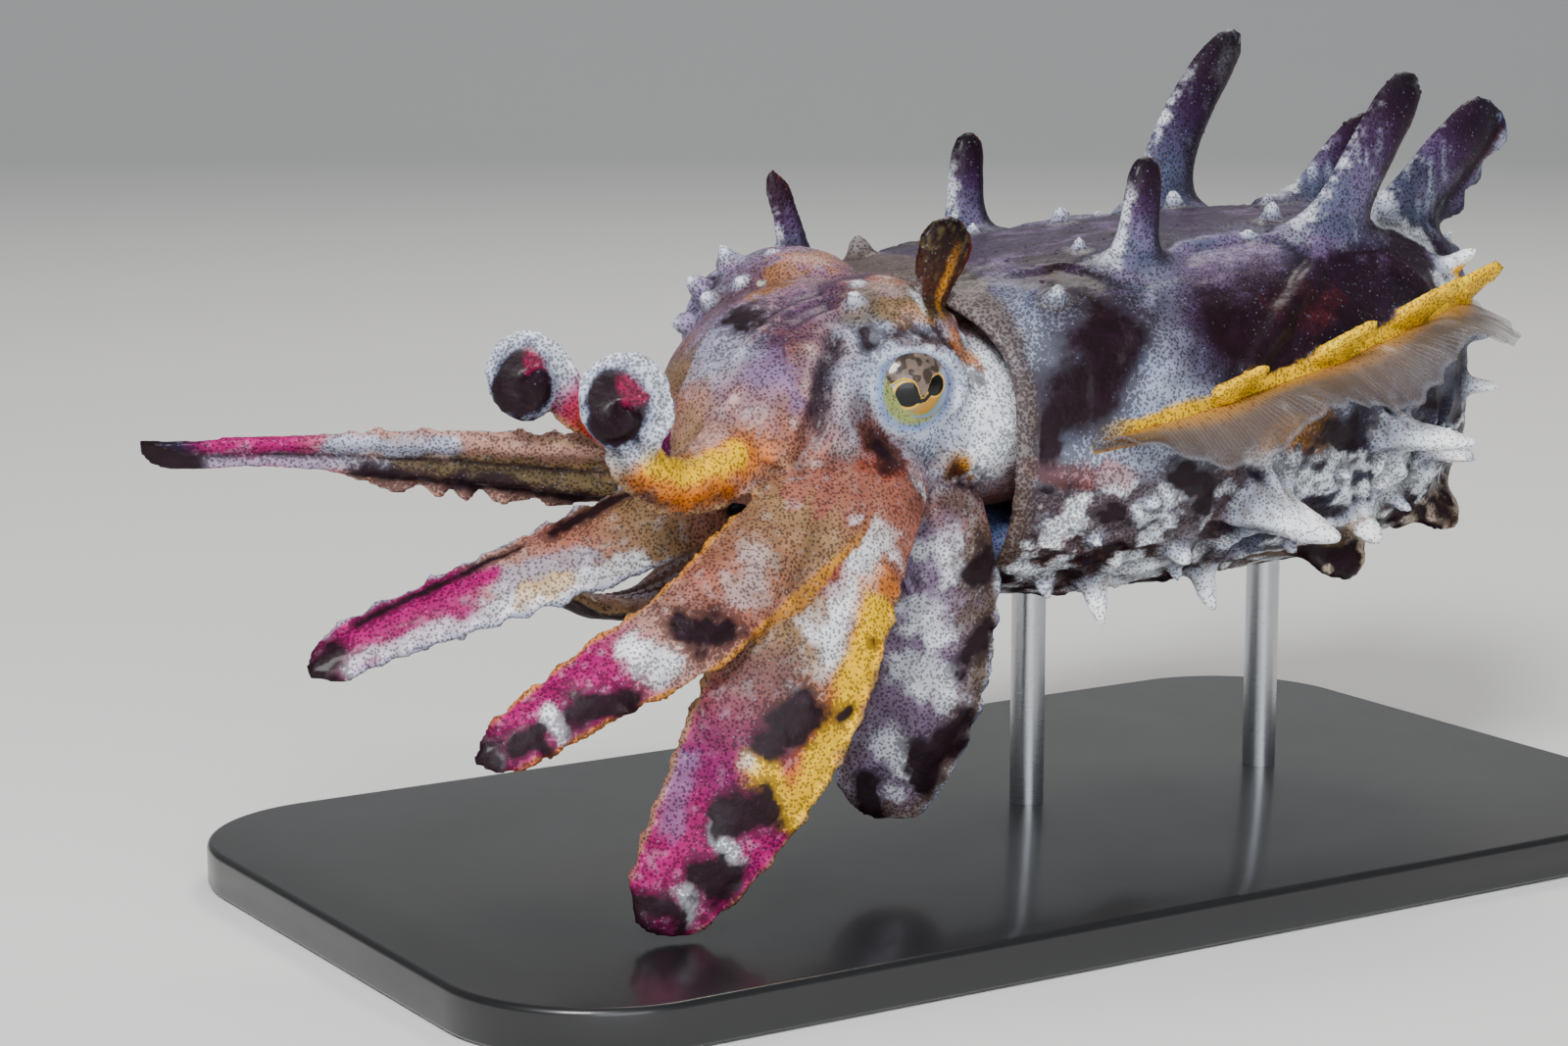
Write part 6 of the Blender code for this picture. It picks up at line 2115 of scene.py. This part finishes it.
class Fin:
    """A thin waving fin along one side of the mantle, from a thick root to a ragged clear edge."""

    START, END, WIDTH, WAVES, WAVE_HEIGHT = 0.10, 0.985, 6.4, 3.0, 1.5
    ROOT_THICKNESS, EDGE_THICKNESS = 1.3, 0.30
    STATIONS, STEPS = 300, 16

    def __init__(self, mantle: Mantle, side: int) -> None:
        """Keeps the mantle that it grows from; side is 1 for left and -1 for right."""
        self.mantle, self.side = mantle, side

    def build(self) -> Skin:
        """The fin's skin, with how far out and how far along each vertex stands.

        Returns:
            The skin, with its attributes out and along for the finish.
        """
        run = np.linspace(0, 1, self.STATIONS)
        share = self.START + (self.END - self.START) * run
        coarse = np.linspace(self.START, self.END, 30)
        angles = self.side * self.mantle.fin_line(coarse)
        normals = unit(np.array([self.mantle.normal(s, a) for s, a in zip(coarse, angles)]))
        out = unit(np.column_stack([np.interp(share, coarse, normals[:, k]) for k in range(3)]))
        root = self.mantle.point(share, self.side * self.mantle.fin_line(share)) - out * 0.5
        along = unit(np.gradient(root, axis=0))
        over = unit(np.cross(along, out))
        over = np.where(over[:, 2:] > 0, over, -over)
        width = self.WIDTH * np.minimum(1.0, run / 0.25 + 0.03) ** 0.7 * (1 - 0.35 * run**6)
        width *= 0.2 + 0.8 * ramp(1, 0.9, run)
        ragged = 1 + 0.05 * np.sin(run * 150) + 0.10 * (NOISE.value(root, 1.6) - 0.5)
        step = np.linspace(0, 1, self.STEPS)
        wave = self.WAVE_HEIGHT * step * np.sin(math.tau * self.WAVES * run + 0.9 * self.side)[:, None]
        ripple = 0.22 * step**2 * np.sin(math.tau * 19 * run + 5 * NOISE.value(root, 4))[:, None]
        reach = (width * ragged)[:, None] * step
        lift = wave + ripple - 0.42 * width[:, None] * step**1.4
        middle = root[:, None] + out[:, None] * (0.92 * reach + 0.5)[:, :, None] + over[:, None] * lift[:, :, None]
        half = 0.5 * (self.ROOT_THICKNESS + (self.EDGE_THICKNESS - self.ROOT_THICKNESS) * step**0.5)
        skin = Skin(Surface.sheet(middle, over[:, None] * half[:, None]).mesh("fin"))
        across = np.concatenate([step, step[::-1]])
        skin.store("out", np.tile(across, self.STATIONS))
        skin.store("along", np.repeat(run, 2 * self.STEPS))
        return skin


class Funnel:
    """The funnel under the neck, from the mantle's recess to its open mouth."""

    # Rows of a centre, a half width and a half height
    SECTIONS = read_rows("""
        1.6 -0.5 31.6 9.6 2.2, -3 -1 31.2 10.4 2.6, -7 -2.2 30.4 9.2 3.2, -10.6 -4 29.2 6 3.2,
        -13.4 -5.6 28 3.4 2.8""")
    # The mouth's lip and inner wall: the share of the outline's size, and how deep inside
    MOUTH = read_rows("0.93 -0.15, 0.84 0, 0.7 1.2, 0.4 3")

    def build(self) -> Skin:
        """Builds the tube, its lip and the wall inside.

        Returns:
            The funnel's skin.
        """
        rings, along = oval_rings(self.SECTIONS, 90, 120)
        outline, tip = rings[-1], rings[-1].mean(axis=0)
        inner = [tip + share * (outline - tip) - depth * along[-1] for share, depth in self.MOUTH]
        skin = Skin(Surface.loft(np.concatenate([rings, inner])).mesh("funnel"))
        painter = Painter(skin, Tone.SKY)
        painter.wash(Tone.VIOLET, 0.35 - 0.3 * painter.rough)
        painter.wash(Tone.PEARL, 0.3 + painter.fine)
        painter.store()
        return skin


class Eye:
    """An eyeball with its painted iris and pupil and a clear wet front."""

    RINGS, TURNS, REACH = 120, 220, 100.0
    # The iris is drawn a little behind and above the middle, where the lids leave the eye open
    MIDDLE, SCALE = (0.3, 0.2), 0.72
    # The scalloped lower edge of the iris flap that hangs over the pupil: millimetres back and up
    FLAP_EDGE = read_rows("""
        -3.6 0, -2.9 0.55, -2.3 0.8, -1.6 0.78, -1 0.55, -0.6 0, -0.25 -0.9, 0 -1.3,
        0.25 -1.3, 0.6 -0.6, 0.95 0.4, 1.25 1, 1.7 1.25, 2.2 1.4, 2.8 2, 3.4 2.3""")
    # The middles and radii of the pupil's two lobes, back and up, and the line that joins them
    LOBES = read_rows("-1.55 -0.4 1.55 1.5, 1.95 0.7 1.3 1.25")
    BRIDGE, BRIDGE_WIDTH = read_rows("-0.3 -1.2, 0.6 -1, 1.3 -0.2"), 0.26

    def __init__(self, head: Head, side: int) -> None:
        """Keeps the head that it sits in; side is 1 for left and -1 for right."""
        self.head, self.side = head, side

    def build(self) -> Skin:
        """Builds the eyeball and paints it by each vertex's place across and up the eye.

        Returns:
            Its skin.
        """
        centre, radius = self.head.eye_centre(self.side), self.head.size.eye_radius
        out, up, back = self.head.gaze(self.side)
        tilt = math.radians(self.REACH) * np.linspace(0.004, 1, self.RINGS)
        skin = Skin(Surface.ball(radius, tilt, self.TURNS, centre, (back, up, out)).mesh("eye"))
        offset = skin.co - centre
        right, rise = self.MIDDLE
        self._paint(skin, (offset @ back - right) / self.SCALE, (offset @ up - rise) / self.SCALE)
        return skin

    def _paint(self, skin: Skin, back: Array, up: Array) -> None:
        """Colours the eye and raises its iris flap: back and up are millimetres from its middle.

        Args:
            skin: The eyeball's skin.
            back: How far back each vertex is on the drawn eye.
            up: How far up it is.
        """
        fine = NOISE.layered(skin.co, 0.5, 2) - 0.5
        reach = np.hypot(back, up) + 0.25 * fine
        lower = ramp(-1.6, 2.2, back - 0.6 * up)[:, None]
        tone = linear(Tone.TEAL) * (1 - lower) + linear(Tone.OCHRE) * lower
        gaps = [np.hypot((back - x) / wide, (up - y) / high) for x, y, wide, high in self.LOBES]
        gaps.append(distance(np.column_stack([back, up]), self.BRIDGE) / self.BRIDGE_WIDTH)
        pupil = np.min(gaps, axis=0)
        edge = np.interp(back, *zip(*self.FLAP_EDGE)) + 0.5 + 0.10 * fine
        over = ramp(-0.03, 0.09, up - edge) * ramp(4.6, 4.4, reach)
        gilt = ramp(0.26, 0.12, np.abs(up - edge)) * over
        spots = ramp(0.12, 0.2, NOISE.value(skin.co + 5, 0.42) - 0.42)
        flap = linear(Tone.SMOKE) * ((0.5 + 1.1 * NOISE.layered(skin.co, 0.7, 3)) * (1 - 0.7 * spots))[:, None]
        for shade, share in (
            (linear(Tone.MOSS), ramp(2.54, 2.86, reach)), (linear(Tone.SKY), ramp(2.94, 3.26, reach)),
            (linear(Tone.PEARL), ramp(3.34, 3.66, reach)), (linear(Tone.GILT), ramp(1.28, 1.1, pupil)),
            (0.15 * linear(Tone.INK), ramp(1.06, 0.98, pupil)), (flap, over), (linear(Tone.GILT), gilt),
        ):
            tone = tone * (1 - share[:, None]) + shade * share[:, None]
        skin.colour("tone", tone)
        skin.raise_by(0.16 * over + 0.05 * over * fine)


@dataclass(frozen=True)
class EyeFinish:
    """A moist painted iris under a clear bulging cornea."""

    roughness: float = 0.3

    def make(self) -> bpy.types.Material:
        """Builds the material. The coat gives the eye one small sharp light over a deep black pupil.

        Returns:
            The material.
        """
        finish = Finish("moist eye under a clear cornea")
        tone = finish.add("Attribute", (), "Color", attribute_name="tone")
        return finish.done({"Base Color": tone, "Roughness": self.roughness, "IOR": 1.3, "Coat Weight": 0.8,
                            "Coat Roughness": 0.02, "Coat IOR": 1.33})


@dataclass(frozen=True)
class FinFinish:
    """Clear smoky fin skin stretched over fine ribs from its root to its edge."""

    # The real ribs are about 0.2 mm apart; they are drawn at 0.4 mm, so that they show
    ribs: float = 150.0
    thinnest: float = 0.24
    dot_mm: float = 0.5

    def make(self) -> bpy.types.Material:
        """Builds the material. It lets the flank show through, and the ribs catch the light as fine lines.

        Returns:
            The material.
        """
        finish = Finish("clear fin skin over fine ribs")
        add, where = finish.add, finish.where
        out, along = (add("Attribute", (), "Fac", attribute_name=name) for name in ("out", "along"))
        noise = add("TexNoise", {"Vector": where, "Scale": 1 / (3.0 * MM), "Detail": 3.0})
        turns = add("Math", (along, self.ribs * math.tau), operation="MULTIPLY")
        wander = add("Math", (noise, 4.0, turns), operation="MULTIPLY_ADD")
        rib = add("MapRange", (add("Math", (wander,), operation="SINE"), 0.1, 1.0), **EASED)
        cells = add("TexVoronoi", {"Vector": where, "Scale": 1 / (self.dot_mm * MM)})
        dots = add("MapRange", (cells, 0.36, 0.22), **EASED)
        inner = add("MapRange", (out, 0.8, 0.1), **EASED)
        dots = add("Math", (dots, inner), operation="MULTIPLY")
        # Yellow at the root, smoke beyond it, and a pale line along the edge
        colour = rgba(Tone.OCHRE)
        for where_from, low, high, most, shade in (
            (out, 0.02, 0.35, 1.0, Tone.SMOKE), (rib, 0.0, 1.0, 0.14, Tone.PEARL), (out, 0.92, 0.99, 0.4, Tone.PEARL),
            (dots, 0.0, 1.0, 0.75, Tone.BROWN),
        ):
            share = add("MapRange", (where_from, low, high, 0.0, most))
            colour = add("Mix", {0: share, 6: colour, 7: rgba(shade)}, 2, **TINTS)
        clear = add("MapRange", (out, 0.05, 0.95, 0.97, self.thinnest), **EASED)
        thick = add("Math", (rib, dots), operation="MAXIMUM")
        clear = add("Math", (thick, 0.18, clear), operation="MULTIPLY_ADD")
        return finish.done({"Base Color": colour, "Roughness": 0.38, "IOR": 1.36, "Alpha": clear,
                            "Coat Weight": 0.15, "Coat Roughness": 0.15}, rib, 0.1)


@dataclass(frozen=True)
class LacquerFinish:
    """Black lacquer, sprayed on steel and rubbed down."""

    roughness: float = 0.30

    def make(self) -> bpy.types.Material:
        """Builds the material. It gives soft reflections that the spray's faint waves break up.

        Returns:
            The material.
        """
        finish = Finish("rubbed black lacquer on a steel plate")
        noises = [finish.add("TexNoise", {"Vector": finish.where, "Scale": 1 / (mm * MM), "Detail": detail})
                  for mm, detail in ((1.4, 2.0), (60.0, 3.0), (14.0, 4.0))]
        wave, cloud, worn = noises
        colour = finish.add("Mix", {0: cloud, 6: rgba("#0D0D0F"), 7: rgba("#141416")}, 2, **TINTS)
        rough = finish.add("Math", (worn, 0.12, self.roughness), operation="MULTIPLY_ADD")
        return finish.done({"Base Color": colour, "Roughness": rough, "IOR": 1.5, "Coat Weight": 0.35,
                            "Coat Roughness": 0.12}, wave, 0.008)


@dataclass(frozen=True)
class BrushedFinish:
    """Bright steel rod, brushed round and round."""

    roughness: float = 0.28
    lines_mm: float = 2.5

    def make(self) -> bpy.types.Material:
        """Builds the material. The brushing draws each light out into a streak along the rod.

        Returns:
            The material.
        """
        finish = Finish("brushed stainless steel rod")
        thin = finish.add("VectorMath", (finish.where, (1.0, 1.0, 40.0)), operation="MULTIPLY")
        lines = finish.add("TexNoise", {"Vector": thin, "Scale": 1 / (self.lines_mm * MM), "Detail": 2.0})
        rough = finish.add("Math", (lines, 0.16, self.roughness - 0.06), operation="MULTIPLY_ADD")
        return finish.done({"Base Color": rgba("#B9BCC0"), "Metallic": 1.0, "Roughness": rough}, lines, 0.007)


@dataclass(frozen=True)
class PaperFinish:
    """Matt white paper, pulled down from a roll."""

    def make(self) -> bpy.types.Material:
        """Builds the material. It gives a plain ground on which only soft shadows show."""
        return Finish("matt paper sweep").done({"Base Color": rgba(Tone.FLOOR), "Roughness": 0.9})


@dataclass(frozen=True)
class Stand:
    """The display stand: a lacquered plate with a softly rounded edge and two brushed rods."""

    length: float = 128.0
    width: float = 72.0
    thickness: float = 4.0
    corner: float = 14.0
    edge: float = 0.6
    rod_radius: float = 1.6
    rod_x: tuple[float, float] = (8.0, 36.0)
    # How far a rod goes up into the mantle from its lowest line
    rod_grip: float = 3.7

    def plate(self) -> Surface:
        """Makes the plate, its edge turned over in small steps.

        Returns:
            The closed plate.
        """
        rings = []
        for t in np.linspace(0, math.pi, 13):
            inset = self.edge * (1 - math.sin(t))
            z = self.edge * (1 - math.cos(t)) if t < math.pi / 2 else self.thickness - self.edge * (1 + math.cos(t))
            rings.append(self._outline(inset, z))
        return Surface.loft(np.array(rings))

    def _outline(self, inset: float, z: float) -> Array:
        """The rounded rectangle at one height.

        Args:
            inset: How far inside the plate's edge.
            z: The height.

        Returns:
            The points of the outline.
        """
        points = []
        half_x, half_y = self.length / 2 - self.corner, self.width / 2 - self.corner
        for quarter, (sx, sy) in enumerate(((1, 1), (-1, 1), (-1, -1), (1, -1))):
            for t in np.linspace(0, math.pi / 2, 24) + quarter * math.pi / 2:
                r = self.corner - inset
                points.append((sx * half_x + r * math.cos(t), sy * half_y + r * math.sin(t), z))
        return np.array(points)

    def rod(self, x: float, top: float) -> Surface:
        """One rod from the plate up into the mantle."""
        heights = (self.thickness, self.thickness + 0.01, top - 0.01, top)
        return Surface.turned([(self.rod_radius, z) for z in heights], 48, (x, 0, 0))


class Studio:
    """The camera at the photo's angle, a pale floor and soft lights."""

    EYE = (-181.8, -260.8, 87.2)
    LOOK = (0.5219, 0.8352, -0.1736)
    LENS, SENSOR = 81.0, 36.0
    # Name, place and aim in metres, width in metres, watts and tint
    LIGHTS = (
        ("key", (-0.42, -0.36, 0.50), (0, 0, 0.04), 0.20, 6.4, "#FFFFFF"),
        ("front", (-0.20, -0.62, 0.16), (0, 0, 0.03), 0.40, 2.2, "#F4F8FF"),
        ("back", (0.30, 0.30, 0.60), (0, 0, 0.05), 0.25, 2.2, "#FFF8F0"),
    )
    ROOM = {"Color": (0.80, 0.84, 0.90, 1), "Strength": 0.30}

    def camera(self) -> None:
        """Sets the scene's camera."""
        data = bpy.data.cameras.new("camera")
        data.lens, data.sensor_width = self.LENS, self.SENSOR
        data.clip_start, data.clip_end = 0.01, 10.0
        camera = linked("camera", data)
        camera.location = Vector(self.EYE) * MM
        camera.rotation_euler = Vector(self.LOOK).to_track_quat("-Z", "Y").to_euler()
        bpy.context.scene.camera = camera

    def floor(self) -> None:
        """A wide pale floor that curves up behind."""
        depth = np.r_[-1.2, 0.9 + 0.5 * np.sin(np.linspace(0, math.pi / 2, 16)), 1.4]
        height = np.r_[0.0, 0.5 * (1 - np.cos(np.linspace(0, math.pi / 2, 16))), 2.2]
        look = unit((self.LOOK[0], self.LOOK[1], 0.0))
        across = np.array([look[1], -look[0], 0.0])
        line = depth[:, None] * look + height[:, None] * np.array([0, 0, 1.0]) - (0, 0, 0.0001)
        verts = np.concatenate([line - 3 * across, line + 3 * across])
        n = len(line)
        mesh = bpy.data.meshes.new("floor")
        mesh.from_pydata(verts.tolist(), [], [(i, i + n, i + n + 1, i + 1) for i in range(n - 1)])
        mesh.materials.append(PaperFinish().make())
        mesh.shade_smooth()
        floor = linked("floor", mesh)

    def light(self, name: str, place: Triple, aim: Triple, size: float, watts: float, tint: str) -> None:
        """One soft square light.

        Args:
            name: The light's name.
            place: Where it stands, in metres.
            aim: What it looks at.
            size: Its width.
            watts: Its power.
            tint: Its colour as sRGB hex.
        """
        data = bpy.data.lights.new(name, "AREA")
        data.size, data.energy, data.color = size, watts, tuple(linear(tint))
        lamp = linked(name, data)
        lamp.location = place
        lamp.rotation_euler = (Vector(aim) - Vector(place)).to_track_quat("-Z", "Y").to_euler()

    def build(self) -> None:
        """The whole studio."""
        self.camera()
        self.floor()
        for lamp in self.LIGHTS:
            self.light(*lamp)
        world = bpy.data.worlds.new("soft room")
        world.use_nodes = True
        Nodes(world.node_tree, "ShaderNode").join(world.node_tree.nodes["Background"], self.ROOM)
        bpy.context.scene.world = world


def main() -> None:
    """Builds the animal, its stand and the studio."""
    logging.basicConfig(level=logging.INFO, format="%(message)s")
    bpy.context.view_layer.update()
    skin = SkinFinish().make()
    arms = [Arm(size) for size in ARMS]
    head = Head(arms)
    flesh = head.build()
    pattern = HeadPattern(head)
    pattern.relief(flesh)
    pattern.paint(flesh)
    grains = Granules().build(flesh, "head grains", skin)
    finished_piece("suckers", Suckers().build(arms, skin), skin, "arm_skin")
    finished_piece("head_grains", grains, skin, "head_skin")
    flesh.finished("head_and_arms", skin, "head_skin", "head", *(node for size in ARMS for node in size.nodes()))
    mantle = Mantle()
    bag = mantle.build()
    pattern = MantlePattern(mantle)
    pattern.relief(bag)
    pattern.paint(bag)
    grains = Granules(seed=23).build(bag, "mantle grains", skin)
    finished_piece("mantle_grains", grains, skin, "mantle_skin")
    bag.finished("mantle_skin", skin, "mantle_skin", "mantle")
    clear, moist, steel = FinFinish().make(), EyeFinish().make(), BrushedFinish().make()
    for name, side in (("left", 1), ("right", -1)):
        Fin(mantle, side).build().finished(f"fin_{name}_skin", clear, "fin_skin", f"fin_{name}")
        Eye(head, side).build().finished(f"eye_{name}_ball", moist, "eye", f"eye_{name}")
    Funnel().build().finished("funnel_skin", skin, "funnel_skin", "funnel")
    stand = Stand()
    finished_piece("plate", stand.plate().mesh("plate"), LacquerFinish().make(), "stand_base", "stand_base")
    for name, x in zip(("front", "rear"), stand.rod_x):
        lowest = mantle.point((x - mantle.size.front_x) / mantle.size.length, 180.0)
        rod = stand.rod(x, lowest[2] + stand.rod_grip).mesh("rod")
        finished_piece(f"rod_{name}", rod, steel, "stand_rod", f"stand_rod_{name}")
    Studio().build()


if __name__ == "__main__":
    main()
